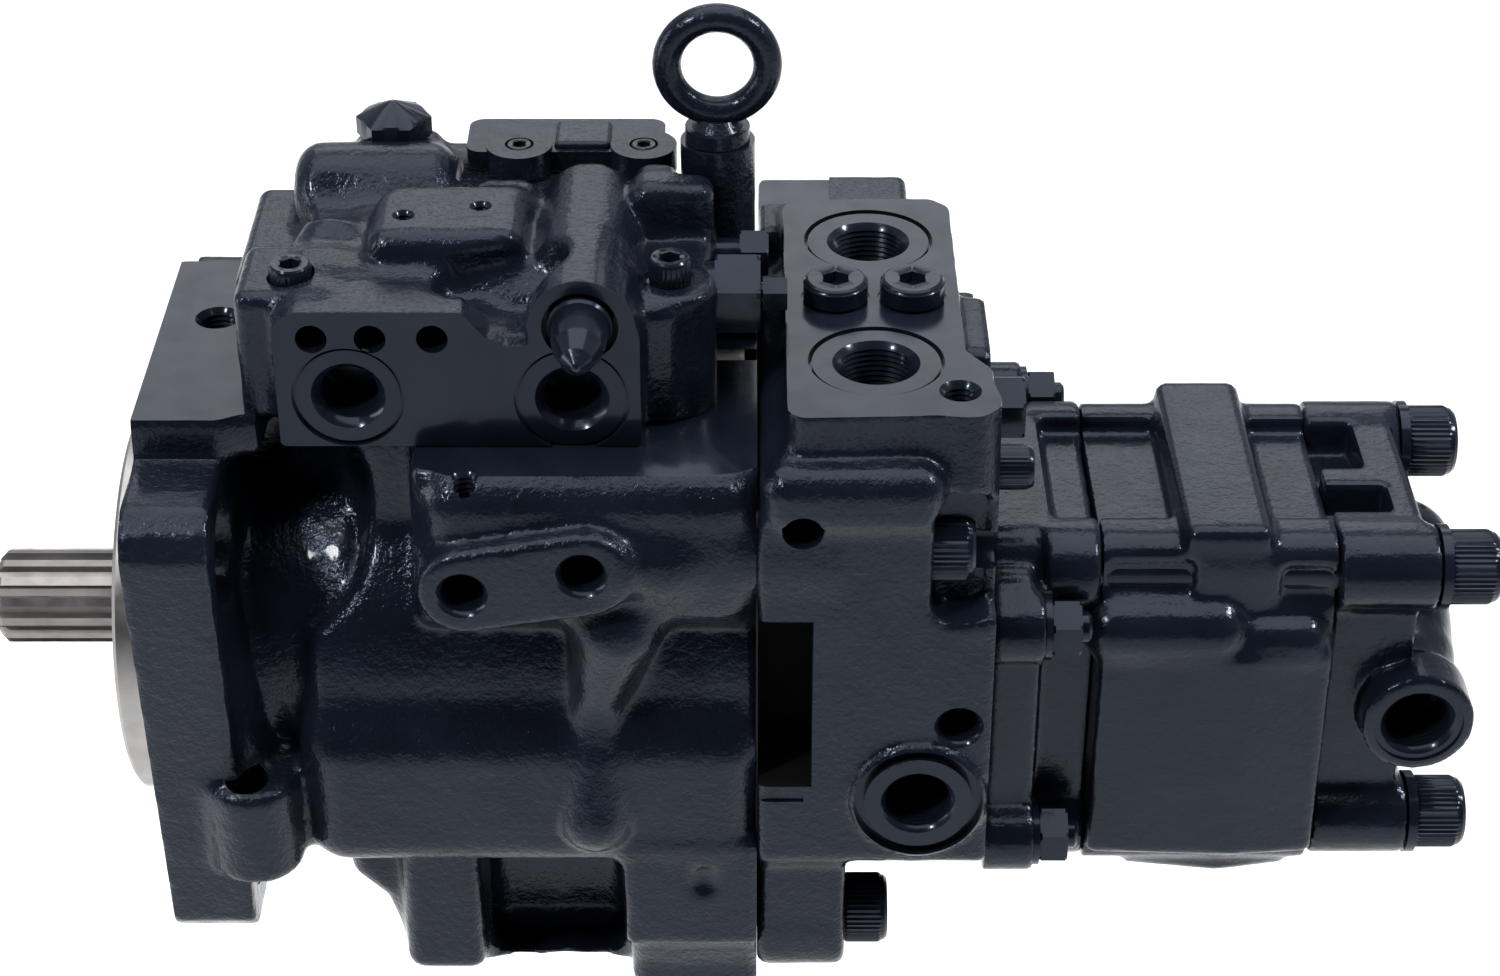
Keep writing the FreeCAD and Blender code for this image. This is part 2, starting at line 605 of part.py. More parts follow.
# ---------------------------------------------------------------- gaskets, bearings, seal
def thin_plates():
    gasket = Piece("cover_gasket_body")
    profile = gasket.sketch("YZ_Plane", "Dims.case_end + 0.05")
    outline(profile, [(-76, -44), (-50, -94), (50, -94), (76, -44), (76, 80), (60, 88), (-60, 88), (-76, 80)])
    circle(profile, 0, 0, "Dims.cavity_rad + 0.5")
    doc.recompute()
    gasket.feature("Pad", profile, Length=0.6)
    hole = gasket.sketch("YZ_Plane", "Dims.case_end")
    for y, z in SCREW_SPOTS:
        circle(hole, y, z, 7.6)
    gasket.feature("Pocket", hole, Length=2.0, Reversed=True)
    node(gasket, "case_gasket")

    gasket = Piece("adaptor_gasket_body")
    profile = gasket.sketch("YZ_Plane", "Dims.cover_end + 0.1")
    circle(profile, 0, -17, 46.0)
    circle(profile, 0, 0, 24.0)
    doc.recompute()
    gasket.feature("Pad", profile, Length=0.6)
    node(gasket, "adaptor_gasket")

    for name, place in (("pump_gasket_front", "Dims.adaptor_end + 0.05"),
                        ("pump_gasket_rear", "Dims.gear_body_end + 0.05")):
        gasket = Piece(name + "_body")
        profile = gasket.sketch("YZ_Plane", place)
        outline(profile, [(-22, -58), (22, -58), (40, -46), (40, 16), (22, 32), (-22, 32), (-40, 16), (-40, -46)])
        circle(profile, 0, -17, 37.5)
        doc.recompute()
        gasket.feature("Pad", profile, Length=0.5)
        node(gasket, name)

    seal = Piece("shaft_seal_body")
    seal.revolve([(-2.0, 25.97), (7.0, 25.97), (7.0, 24.0), (0.0, 24.0), (0.0, 19.0), (5.0, 17.6),
                  (5.0, 17.2), (2.0, 17.05), (-2.0, 18.4)])
    node(seal, "shaft_seal")

    clip = Piece("seal_ring_body")
    clip.revolve([(-4.3, 27.4), (-2.4, 27.4), (-2.4, 22.5), (-4.3, 22.5)])
    gap = clip.sketch("YZ_Plane", -6)
    outline(gap, [(-4, -30), (4, -30), (5, -18), (-5, -18)])
    clip.feature("Pocket", gap, Length=6.0, Reversed=True)
    node(clip, "seal_retaining_ring")


def bearing(name, start, width, inner, outer, count):
    """A deep groove ball bearing: two rings with a groove each, and a row of balls."""
    middle = (inner + outer) / 2
    radius = (outer - inner) * 0.29
    centre = start + width / 2
    lip = (outer - inner) * 0.22
    outer_ring = cut(name + "_out", rod(name + "_o", outer, width, (start, 0, 0)),
                     [rod(name + "_oi", outer - lip, width + 2, (start - 1, 0, 0))])
    inner_ring = cut(name + "_in", rod(name + "_i", inner + lip, width, (start, 0, 0)),
                     [rod(name + "_ii", inner, width + 2, (start - 1, 0, 0))])
    groove = doc.addObject("Part::Torus", name + "_groove")
    groove.Radius1 = middle
    groove.Radius2 = radius + 0.15
    put(groove, (centre, 0, 0), TURN["X"])
    groove.recompute()
    grooved_out = cut(name + "_outer_cut", outer_ring, [groove])
    grooved_in = cut(name + "_inner_cut", inner_ring, [groove])
    sphere = ball(name + "_ball", radius, (centre, 0, middle))
    node(grooved_out, name + "_outer_race")
    node(grooved_in, name + "_inner_race")
    node(ring_of(name + "_balls", sphere, [360 / count * k for k in range(count)]), name + "_balls")


# ---------------------------------------------------------------- rotating group
def toothed(inner, outer, count, share=0.5):
    """A face with straight sided teeth, in the YZ plane."""
    points = []
    for index in range(count):
        middle = 2 * math.pi * index / count
        half_tip = math.pi / count * share * 0.82
        half_root = math.pi / count * share * 1.18
        for radius, angle in ((inner, -half_root), (outer, -half_tip), (outer, half_tip), (inner, half_root)):
            points.append(Vector(0, radius * math.cos(middle + angle), radius * math.sin(middle + angle)))
    points.append(points[0])
    return Part.Face(Part.makePolygon(points))


def extruded(face, start, length):
    solid = face.extrude(Vector(length, 0, 0))
    solid.translate(Vector(start, 0, 0))
    return solid


def drive_shaft():
    end = size("shaft_end")
    core = Piece("shaft_core")
    core.revolve([(-14.0, 0.0), (-14.0, 17.0), (9.0, 17.0), (9.0, 17.5), (31.0, 17.5), (31.0, 21.5),
                  (36.0, 21.5), (36.0, 18.0), (116.0, 18.0), (116.0, 16.3), (190.5, 16.3), (190.5, 14.98),
                  (209.0, 14.98), (209.0, 14.0), (214.0, 14.0), (214.0, 0.0)])
    spline = extruded(toothed(13.3, 15.6, 14), end, 49)
    chamfer = Part.makeCone(13.4, 63.4, 50.0, Vector(end, 0, 0), Vector(1, 0, 0))
    spline = spline.common(chamfer)
    drive = extruded(toothed(16.3, 18.2, 20), 118, 40)
    tail = extruded(toothed(10.2, 12.0, 12), 210, 22)
    shape = core.body.Shape.fuse([spline, drive, tail]).removeSplitter()
    node(keep("drive_shaft_shape", shape), "drive_shaft")
    core.body.Visibility = False


def cylinder_block():
    block = Piece("block_body")
    front = size("block_front")
    back = size("block_back")
    radius = size("block_rad")
    block.revolve([(front, 22.5), (front, radius - 4), (front + 4, radius), (back - 6, radius),
                   (back - 6, radius - 3), (back, radius - 3), (back, 21.0), (140.0, 21.0), (140.0, 22.5)])
    bores = block.sketch("YZ_Plane", "Dims.block_front")
    circle(bores, 0, size("piston_pcd") / 2, "Dims.piston_rad + Dims.piston_fit")
    first = block.feature("Pocket", bores, Length=66.0, Reversed=True)
    block.pattern(first, 9, bores)
    ports = block.sketch("YZ_Plane", 160)
    circle(ports, 0, size("piston_pcd") / 2, 5.0)
    first = block.feature("Pocket", ports, Length=30.0, Reversed=True)
    block.pattern(first, 9, ports)
    hub = Part.makeCylinder(22.6, 18, Vector(140, 0, 0), Vector(1, 0, 0))
    hub = hub.cut(extruded(toothed(16.45, 18.35, 20, 0.515), 130, 40))
    shape = block.body.Shape.fuse(hub).removeSplitter()
    node(keep("cylinder_block_shape", shape), "cylinder_block")
    block.body.Visibility = False


def pistons():
    radius = size("piston_rad")
    arm = size("piston_pcd") / 2
    angles = [40 * k for k in range(9)]
    piston = Piece("piston_body")
    points = [(80 + 7.9 * math.cos(math.radians(a)), 7.9 * math.sin(math.radians(a))) for a in range(180, 35, -12)]
    outline_points = points + [(87.5, 5.2), (90.5, 6.0), (92.0, radius - 1.0), (93.0, radius), (149.0, radius),
                               (150.0, radius - 1), (150.0, 5.5), (104.0, 5.5), (100.0, 0.0)]
    piston.revolve(outline_points)
    base = piston.body.Shape.copy()
    base.translate(Vector(0, 0, arm))
    single = keep("piston_single", base)
    node(ring_of("pistons_ring", single, angles), "pistons")

    shoe = Piece("shoe_body")
    face = size("swash_face") + 0.35
    socket = [(80 + 8.1 * math.cos(math.radians(a)), 8.1 * math.sin(math.radians(a))) for a in range(70, 166, 8)]
    shoe.revolve([(face, 2.0), (face, 11.0), (face + 3.2, 11.0), (face + 3.2, 9.4), (77.0, 9.4), (82.7, 9.2)]
                 + socket + [(72.0, 2.0)])
    base = shoe.body.Shape.copy()
    base.translate(Vector(0, 0, arm))
    single = keep("shoe_single", base)
    node(ring_of("shoes_ring", single, angles), "piston_shoes")

    plate = Piece("retainer_body")
    profile = plate.sketch("YZ_Plane", face + 3.7)
    circle(profile, 0, 0, 49.5)
    circle(profile, 0, 0, 25.5)
    doc.recompute()
    plate.feature("Pad", profile, Length=3.0)
    holes = plate.sketch("YZ_Plane", face + 3.0)
    circle(holes, 0, arm, 9.9)
    first = plate.feature("Pocket", holes, Length=5.0, Reversed=True)
    plate.pattern(first, 9, holes)
    node(plate, "retainer_plate")

    guide = Piece("guide_body")
    guide.revolve([(70.2, 18.6), (70.2, 22.2), (72.2, 24.2), (75.0, 24.9), (79.0, 25.0), (84.0, 22.5),
                   (88.0, 22.0), (88.0, 18.6)])
    node(guide, "retainer_guide")

    coil = spring(88.4, 139.6, 20.3, 1.2, 8.3)
    node(keep("block_spring_shape", coil), "block_spring")


def spring(start, end, radius, wire, pitch):
    """A round wire coil about the X axis that starts and stops inside its ends."""
    height = end - start - 2 * wire
    helix = Part.makeHelix(pitch, height, radius)
    profile = Part.Wire([Part.makeCircle(wire, Vector(radius, 0, 0), Vector(0, 1, 0))])
    coil = Part.Wire(helix.Edges).makePipeShell([profile], True, True)
    coil.rotate(Vector(0, 0, 0), Vector(0, 1, 0), 90)
    coil.translate(Vector(start + wire, 0, 0))
    return coil


def valve_plate():
    plate = Piece("valve_plate_body")
    profile = plate.sketch("YZ_Plane", "Dims.block_back + 0.05")
    circle(profile, 0, 0, 50.0)
    circle(profile, 0, 0, 20.0)
    doc.recompute()
    plate.feature("Pad", profile, Length=4.5)
    for side in (0, 180):
        slots = plate.sketch("YZ_Plane", "Dims.block_back - 1")
        radius = size("piston_pcd") / 2
        kidney(slots, radius, 4.5, side + 90 - 62, side + 90 + 62, turn=-90)
        plate.feature("Pocket", slots, Length=8.0, Reversed=True)
    node(plate, "valve_plate")


def kidney(profile, radius, half, start, end, turn=0):
    """A curved slot of constant width, centred on a pitch circle."""
    a = math.radians(start + turn)
    b = math.radians(end + turn)
    centre = Vector(0, 0, 0)
    normal = Vector(0, 0, 1)
    for r in (radius - half, radius + half):
        profile.addGeometry(Part.ArcOfCircle(Part.Circle(centre, normal, r), a, b), False)
    low = Vector(radius * math.cos(a), radius * math.sin(a), 0)
    high = Vector(radius * math.cos(b), radius * math.sin(b), 0)
    profile.addGeometry(Part.ArcOfCircle(Part.Circle(high, normal, half), b, b + math.pi), False)
    profile.addGeometry(Part.ArcOfCircle(Part.Circle(low, normal, half), a + math.pi, a + 2 * math.pi), False)
    doc.recompute()


# ---------------------------------------------------------------- swash plate and servo
def swash():
    face = size("swash_face")
    radius = size("cradle_rad")
    disc = rod("swash_disc", "Dims.swash_rad", 8, ("Dims.swash_face - 8", 0, 0))
    disc = rim(disc, 1.5, [face])
    arms = []
    for number, y in enumerate((-46, 24)):
        arms.append(rod("swash_arm%d" % number, "Dims.cradle_rad", 22, ("Dims.swash_face", y, 0), "Y"))
    lever = box("swash_lever", (58, 66), (-6, 6), (40, 66), 2, "Y")
    lever_ball = rod("swash_pin", 4.6, 10, (66, -5, "Dims.servo_height"), "Y")
    lever_neck = box("swash_lever_neck", (63.5, 68.5), (-5, 5), (58, 80))
    solid = fuse("swash_solid", [disc, lever, lever_ball, lever_neck] + arms)
    tools = [
        box("swash_front", ("Dims.swash_face", 110), (-60, 60), (-60, 38)),
        box("swash_front_b", ("Dims.swash_face", 110), (-60, 60), (38, 52)),
        rod("swash_way", 26, 60, (20, 0, 0)),
    ]
    node(cut("swash_cut", solid, tools), "swash_plate")

    block = box("cradle_block", (29.3, 44), (-46, 46), (-34, 34), 2, "X")
    hollow = rod("cradle_hollow", radius + 2.2, 110, ("Dims.swash_face", -55, 0), "Y")
    shaft_way = rod("cradle_shaft_way", 25, 40, (25, 0, 0))
    node(cut("cradle_cut", block, [hollow, shaft_way]), "swash_cradle")

    shells = []
    for number, y in enumerate((-45.5, 24.5)):
        outer = rod("shell_o%d" % number, radius + 2.1, 21, ("Dims.swash_face", y, 0), "Y")
        inner = rod("shell_i%d" % number, radius + 0.05, 25, ("Dims.swash_face", y - 1, 0), "Y")
        keep_zone = box("shell_zone%d" % number, (20, 43.5), (y, y + 21), (-40, 40))
        tube = cut("shell_tube%d" % number, outer, [inner])
        part = doc.addObject("Part::Common", "shell%d" % number)
        part.Base = tube
        part.Tool = keep_zone
        part.recompute()
        shells.append(part.Shape)
    node(keep("cradle_bearing_shape", Part.makeCompound(shells)), "cradle_bearings")


def servo():
    height = "Dims.servo_height"
    piston = rod("servo_rod", "Dims.servo_rad", 66, (50, 0, height))
    piston = rim(piston, 0.8, [50, 116])
    notch = box("servo_notch", (60.8, 71.2), (-12, 12), (70, 86))
    relief = box("servo_relief", (56, 76), (-12, 12), (60, 75))
    slot = rod("servo_ring_a", 12, 2, (104, 0, height))
    ring_core = rod("servo_ring_core", 9.4, 2, (104, 0, height))
    groove = cut("servo_groove", slot, [ring_core])
    spring_way = rod("servo_spring_way", 7.6, 20, (98, 0, height))
    node(cut("servo_cut", piston, [notch, relief, groove, spring_way]), "servo_piston")
    coil = spring(98.3, 167.0, 6.3, 0.9, 5.2)
    coil.translate(Vector(0, 0, size("servo_height")))
    node(keep("servo_spring_shape", coil), "servo_spring")
    plug = rod("servo_plug_rod", 12.9, 18, (167.4, 0, height))
    socket = prism("servo_plug_hex", 10, 8, (178.5, 0, height))
    node(cut("servo_plug_cut", plug, [socket]), "servo_plug")


# ---------------------------------------------------------------- spools and adjusters
def spools():
    core = Piece("pressure_spool_body")
    core.revolve([(76, 0), (76, 6.2), (76.8, 7.0), (90, 7.0), (90, 4.0), (100, 4.0), (100, 7.0), (112, 7.0),
                  (112, 4.0), (120, 4.0), (120, 7.0), (133, 7.0), (134, 6.0), (134, 0)])
    core.body.Placement = Placement(Vector(0, -12, 121), Rotation())
    doc.recompute()
    node(core, "pressure_spool")
    coil = spring(134.3, 152.0, 5.0, 0.8, 3.6)
    coil.translate(Vector(0, -12, 121))
    node(keep("pressure_spring_shape", coil), "pressure_spring")

    sleeve = rod("adjuster_sleeve", 10.3, 24, (152.4, -12, 121))
    hexagon = prism("adjuster_hex", 24, 14, (176.4, -12, 121))
    node(fuse("adjuster_solid", [sleeve, hexagon]), "adjuster_body")
    screw = rod("adjuster_screw_rod", 4, 4, (190.7, -12, 121))
    nut = prism("adjuster_nut", 10, 7.5, (191.2, -12, 121))
    node(fuse("adjuster_screw_solid", [screw, nut]), "adjuster_screw")

    core = Piece("flow_spool_body")
    core.revolve([(0, 0), (0, 5.4), (0.6, 6.0), (14, 6.0), (14, 3.4), (24, 3.4), (24, 6.0), (36, 6.0), (36, 3.4),
                  (46, 3.4), (46, 6.0), (59.4, 6.0), (60, 5.4), (60, 0)])
    core.body.Placement = Placement(Vector(137, -30, 134), Rotation(Vector(0, 0, 1), 90))
    doc.recompute()
    node(core, "flow_spool")

    tip = Piece("adjuster_cap_body")
    tip.revolve([(0, 0), (0, 9.8), (9.5, 9.8), (10.5, 9.2), (22, 7.4), (29, 4.6), (32.5, 1.4), (33, 0)])
    tip.body.Placement = Placement(Vector(137, -47, 134), Rotation(Vector(0, 0, 1), -90))
    doc.recompute()
    node(tip, "adjuster_cap")

    shank = rod("hex_cap_shank", 6, 18, (73, 50, 127.5), "Z")
    hexagon = prism("hex_cap_hex", 21, 5.4, (73, 50, 145.2), "Z")
    point = rod("hex_cap_point", 10.4, 6.8, (73, 50, 150.5), "Z", 1)
    node(fuse("hex_cap_solid", [shank, hexagon, point]), "hex_cap")

    body = prism("side_plug_hex", 14, 9, (184, 9, 124))
    shank = rod("side_plug_shank", 5, 27, (158, 9, 124))
    node(fuse("side_plug_solid", [body, shank]), "side_plug")


# ---------------------------------------------------------------- gear pump internals
def gear_face(count, pitch_radius, tip, root, backlash, turn):
    """An involute gear outline in the YZ plane."""
    base = pitch_radius * math.cos(math.radians(20))
    involute = math.tan(math.radians(20)) - math.radians(20)
    half = math.pi / (2 * count) - backlash / (2 * pitch_radius) + involute
    points = []
    for index in range(count):
        middle = 2 * math.pi * index / count + turn
        flank = [(root, half * 0.98), (base, half)]
        for step in range(1, 7):
            radius = base + (tip - base) * step / 6
            angle = math.acos(base / radius)
            flank.append((radius, half - (math.tan(angle) - angle)))
        right = [(r, -a) for r, a in flank]
        for r, a in right + flank[::-1]:
            points.append(Vector(0, r * math.cos(middle + a), r * math.sin(middle + a)))
    points.append(points[0])
    return Part.Face(Part.makePolygon(points))


def gears():
    centres = size("gear_centres")
    start = 308.0
    length = 53.0
    count = 12
    places = (("gear_pump_drive_gear", 0, -math.pi / 2),
              ("gear_pump_driven_gear", -centres, math.pi / 2 + math.pi / count))
    for name, z, turn in places:
        face = gear_face(count, centres / 2, 19.4, 13.7, 0.3, turn)
        solid = extruded(face, start, length)
        solid = solid.fuse(Part.makeCylinder(8.97, 76, Vector(300, 0, 0), Vector(1, 0, 0)))
        if z == 0:
            front = 234.0
            solid = solid.fuse(Part.makeCylinder(6.4, 300 - front, Vector(front, 0, 0), Vector(1, 0, 0)))
            solid = solid.fuse(extruded(toothed(6.4, 8.4, 9), front, 24))
        solid.translate(Vector(0, 0, z))
        node(keep(name + "_shape", solid.removeSplitter()), name)

    sleeve = rod("coupling_rod", 17.5, 44, (216, 0, 0))
    sleeve = rim(sleeve, 1.0, [216, 260])
    way = extruded(toothed(10.35, 12.15, 12, 0.52), 210, 23)
    tail = extruded(toothed(6.55, 8.55, 9, 0.52), 232.9, 40)
    shape = sleeve.Shape.cut(way).cut(tail)
    node(keep("coupling_shape", shape), "coupling_sleeve")

    for name, place, width in (("gear_pump_front_bush", 297.8, 10), ("gear_pump_rear_bush", 361.2, 10.5)):
        upper = rod(name + "_u", 19.85, width, (place, 0, 0))
        lower = rod(name + "_l", 19.85, width, (place, 0, -centres))
        both = fuse(name + "_solid", [upper, lower])
        ways = [rod(name + "_way", 9.0, 30, (place - 5, 0, z)) for z in (0, -centres)]
        node(cut(name + "_cut", both, ways), name)


# ---------------------------------------------------------------- fasteners and fittings
def socket_screw(name, head_rad, head_len, shank_rad, shank_len, hexagon, axis="X"):
    """A socket head screw at the origin: the head's seat is at zero and the head points along the axis."""
    head = rim(rod(name + "_head", head_rad, head_len, (0, 0, 0)), head_len * 0.08, [head_len])
    shank = rod(name + "_shank", shank_rad, shank_len + 1, (-shank_len, 0, 0))
    solid = fuse(name + "_solid", [head, shank])
    made = cut(name + "_made", solid, [prism(name + "_hex", hexagon, head_len * 0.55 + 1, (head_len * 0.45, 0, 0))])
    shape = made.Shape.copy()
    turned = TURN[axis] * TURN["X"].inverted()
    shape.Placement = Placement(Vector(0, 0, 0), turned).multiply(shape.Placement)
    return keep(name, shape)


def fasteners():
    screw = socket_screw("cover_screw", 11.5, 14, 6.4, 62, 12)
    spots = [(241.3, y, z) for y, z in SCREW_SPOTS if z > 0]
    spots += [(218.3, y, z) for y, z in SCREW_SPOTS if z < 0]
    node(copies_at("cover_screws", screw, spots), "end_cover_screws")

    screw = socket_screw("valve_screw", 6.5, 8, 3.5, 52, 6, "Z")
    heights = (135.8, 134.3, 130.3, 130.3)
    spots = [(x, y, z) for (x, y), z in zip(VALVE_SPOTS, heights)]
    node(copies_at("valve_screws", screw, spots), "control_valve_screws")

    screw = socket_screw("small_screw", 4.2, 4, 2.5, 9, 4, "Z")
    node(copies_at("cover_plate_screws", screw, [(114, 36, 144.9), (153.5, 36, 144.9)]), "cover_plate_screws")

    plug = socket_screw("port_plug", 10.2, 7, 6.9, 12, 8, "Z")
    spots = [(x, 0, size("port_face") + 0.3) for x in (214, 238)]
    node(copies_at("port_plugs", plug, spots), "cover_port_plugs")

    screw = socket_screw("pump_screw", 12, 16, 8.0, 125, 14)
    washer = cut("washer_m16", rod("washer_o", 13.6, 3, (0, 0, 0)), [rod("washer_i", 8.5, 6, (-1, 0, 0))])
    end = size("rear_end") + 0.3
    node(copies_at("pump_screws", screw, [(end + 3.3, y, z) for y, z in PUMP_SPOTS]), "gear_pump_screws")
    node(copies_at("pump_washers", washer, [(end, y, z) for y, z in PUMP_SPOTS]), "gear_pump_washers")

    nut = cut("nut_solid", prism("nut_hex", 17, 9, (0, 0, 0)), [rod("nut_hole", 5.05, 20, (-1, 0, 0))])
    washer = cut("washer_m10", rod("washer10_o", 10.4, 2, (0, 0, 0)), [rod("washer10_i", 5.4, 6, (-1, 0, 0))])
    stud = rim(rod("stud_rod", 4.95, 47, (247, 0, 0)), 1.0, [294])
    seat = 279.2
    places = [(y, z) for y, z in STUD_SPOTS]
    node(copies_at("adaptor_washers", washer, [(seat, y, z) for y, z in places]), "adaptor_washers")
    node(copies_at("adaptor_nuts", nut, [(seat + 2.3, y, z) for y, z in places]), "adaptor_nuts")
    node(copies_at("adaptor_studs", stud, [(0, y, z) for y, z in places]), "adaptor_studs")


def rear_face_fittings():
    """A hexagon head screw and a socket plug on the rear face of the end cover."""
    end = size("cover_end") + 0.3
    head = prism("rear_bolt_hex", 19, 11, (end, -15, 82))
    shank = rod("rear_bolt_shank", 5, 17, (end - 16, -15, 82))
    node(fuse("rear_bolt_solid", [head, shank]), "cover_rear_bolt")
    plug = socket_screw("rear_plug", 7, 12, 4.9, 14, 6)
    node(copies_at("rear_plugs", plug, [(end, -44, 78)]), "cover_rear_plug")


def eyebolt():
    x = size("eye_x")
    y = size("eye_y")
    seat = size("eye_seat") + 0.3
    ring = doc.addObject("Part::Torus", "eye_ring")
    ring.Radius1 = 15.7
    ring.Radius2 = 4.5
    put(ring, (x, y, seat + 25.2), TURN["Y"])
    ring.recompute()
    collar = rod("eye_collar", 10.2, 4.5, (x, y, seat), "Z")
    neck = rod("eye_neck", 8.5, 3.5, (x, y, seat + 4), "Z", 5.5)
    shank = rod("eye_shank", 4.95, 34, (x, y, seat - 34), "Z")
    node(fuse("eyebolt_solid", [ring, collar, neck, shank]), "eyebolt")


main_case()
end_cover()
control_valve()
valve_cover()
adaptor()
gear_pump_body()
rear_cover()
thin_plates()
bearing("front_bearing", 9.8, 18.0, 17.53, 35.95, 11)
bearing("rear_bearing", 191.8, 15.0, 15.0, 25.95, 10)
drive_shaft()
cylinder_block()
pistons()
valve_plate()
swash()
servo()
spools()
gears()
fasteners()
rear_face_fittings()
eyebolt()

doc.recompute()
problems = []
for obj in doc.Objects:
    if "Invalid" in obj.State or "Error" in obj.State:
        problems.append("%s: %s" % (obj.Name, obj.State))
for name, obj in NODES:
    if obj.Shape.isNull() or not obj.Shape.isValid() or not obj.Shape.Solids:
        problems.append("%s has no valid solid" % name)
if problems:
    raise RuntimeError("; ".join(problems))
for name, obj in NODES:
    obj.Shape.exportStep("parts/%s.step" % name)
    print(name, len(obj.Shape.Solids), "solids", round(obj.Shape.Volume / 1000, 1), "cm3")
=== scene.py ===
import json
import math

import bmesh
import bpy
import numpy as np
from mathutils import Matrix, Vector


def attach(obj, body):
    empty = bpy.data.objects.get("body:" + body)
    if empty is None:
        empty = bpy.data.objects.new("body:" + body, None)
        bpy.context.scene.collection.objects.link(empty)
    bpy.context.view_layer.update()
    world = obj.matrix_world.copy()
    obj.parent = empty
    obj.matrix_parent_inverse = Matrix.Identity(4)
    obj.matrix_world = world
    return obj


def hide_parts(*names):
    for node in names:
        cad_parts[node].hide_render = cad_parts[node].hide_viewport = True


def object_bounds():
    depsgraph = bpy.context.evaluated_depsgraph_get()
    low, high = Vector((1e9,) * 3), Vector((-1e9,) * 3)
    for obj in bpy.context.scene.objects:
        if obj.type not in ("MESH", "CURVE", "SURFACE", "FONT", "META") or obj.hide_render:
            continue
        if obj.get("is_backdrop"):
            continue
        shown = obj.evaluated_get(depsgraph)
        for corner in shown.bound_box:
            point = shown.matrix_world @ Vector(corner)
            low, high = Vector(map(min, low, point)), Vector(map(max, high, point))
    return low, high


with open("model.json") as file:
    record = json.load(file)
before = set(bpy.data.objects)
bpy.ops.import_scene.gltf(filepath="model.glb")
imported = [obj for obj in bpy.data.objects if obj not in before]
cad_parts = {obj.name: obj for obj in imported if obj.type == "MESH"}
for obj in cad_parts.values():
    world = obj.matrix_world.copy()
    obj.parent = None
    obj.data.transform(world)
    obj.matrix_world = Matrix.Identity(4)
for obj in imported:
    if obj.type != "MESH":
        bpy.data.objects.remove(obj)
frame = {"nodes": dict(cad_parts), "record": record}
NODES = frame["nodes"]


def save_size(key, report={}):
    """Keep the object's outer size in a dictionary, as plain lists."""
    low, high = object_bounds()
    report[key] = [list(map(float, low)), list(map(float, high))]


save_size("cad")

# Axial piston pump with a gear pump on its rear: X runs along the shaft, Z is up, the ported side is -Y.
# Lengths below are millimetres in the pump's own frame until a mesh is made.
MM = 0.001


# ---------------------------------------------------------------- distance fields
class Cast:
    """A casting as a signed distance field on a grid, grown from blended simple forms."""

    def __init__(self, low, high, step):
        self.step = step
        self.low = np.array(low, np.float32) - 3 * step
        count = np.ceil((np.array(high) - np.array(low)) / step).astype(int) + 7
        self.axes = [self.low[i] + step * np.arange(count[i], dtype=np.float32) for i in range(3)]
        self.field = np.full(tuple(count), 60.0, np.float32)

    def window(self, low, high, margin):
        cuts = []
        for i in range(3):
            a = int(np.searchsorted(self.axes[i], low[i] - margin))
            b = int(np.searchsorted(self.axes[i], high[i] + margin))
            cuts.append(slice(max(a - 1, 0), b + 1))
        return tuple(cuts)

    def grid(self, cuts):
        x, y, z = (self.axes[i][cuts[i]] for i in range(3))
        return x[:, None, None], y[None, :, None], z[None, None, :]

    def add(self, form, blend=3.0):
        """Union with a smooth seam."""
        cuts = self.window(form.low, form.high, blend + 4 * self.step)
        old = self.field[cuts]
        new = form.distance(*self.grid(cuts)).astype(np.float32)
        self.field[cuts] = soft_min(old, new, blend)

    def carve(self, form, blend=2.0):
        """Subtract with a smooth seam."""
        cuts = self.window(form.low, form.high, blend + 4 * self.step)
        old = self.field[cuts]
        new = form.distance(*self.grid(cuts)).astype(np.float32)
        self.field[cuts] = -soft_min(-old, new, blend)

    def roughen(self, height, cell, seed):
        """Uneven as-cast surface: smooth random waves added to the field."""
        random = np.random.default_rng(seed)
        wave = np.zeros_like(self.field)
        for scale, share in ((cell, 0.6), (cell * 0.5, 0.4)):
            small = [max(4, int(len(axis) * self.step / scale)) for axis in self.axes]
            noise = random.standard_normal(small).astype(np.float32)
            wave += share * stretch(noise, self.field.shape)
        self.field += height * wave

    def mesh(self, name, materials):
        verts, quads = surface_net(self.field)
        verts = (verts * self.step + self.low) * MM
        made = bpy.data.meshes.new(name)
        made.vertices.add(len(verts))
        made.vertices.foreach_set("co", verts.astype(np.float32).ravel())
        made.loops.add(len(quads) * 4)
        made.loops.foreach_set("vertex_index", quads.astype(np.int32).ravel())
        made.polygons.add(len(quads))
        made.polygons.foreach_set("loop_start", np.arange(0, len(quads) * 4, 4, dtype=np.int32))
        made.update(calc_edges=True)
        made.validate()
        for material in materials:
            made.materials.append(material)
        obj = bpy.data.objects.new(name, made)
        bpy.context.scene.collection.objects.link(obj)
        return obj


def stretch(small, shape):
    """Resize a small random block to the grid with smooth interpolation along each axis."""
    out = small
    for axis in range(3):
        count = shape[axis]
        spots = np.linspace(0, out.shape[axis] - 1.001, count)
        base = np.floor(spots).astype(int)
        part = (spots - base).astype(np.float32)
        part = part * part * (3 - 2 * part)
        form = [1, 1, 1]
        form[axis] = count
        part = part.reshape(form)
        out = np.take(out, base, axis) * (1 - part) + np.take(out, base + 1, axis) * part
    return out


def soft_min(a, b, k):
    """Smooth minimum with blend width k."""
    if k <= 0:
        return np.minimum(a, b)
    mix = np.clip(0.5 + 0.5 * (b - a) / k, 0, 1)
    return b + (a - b) * mix - k * mix * (1 - mix)


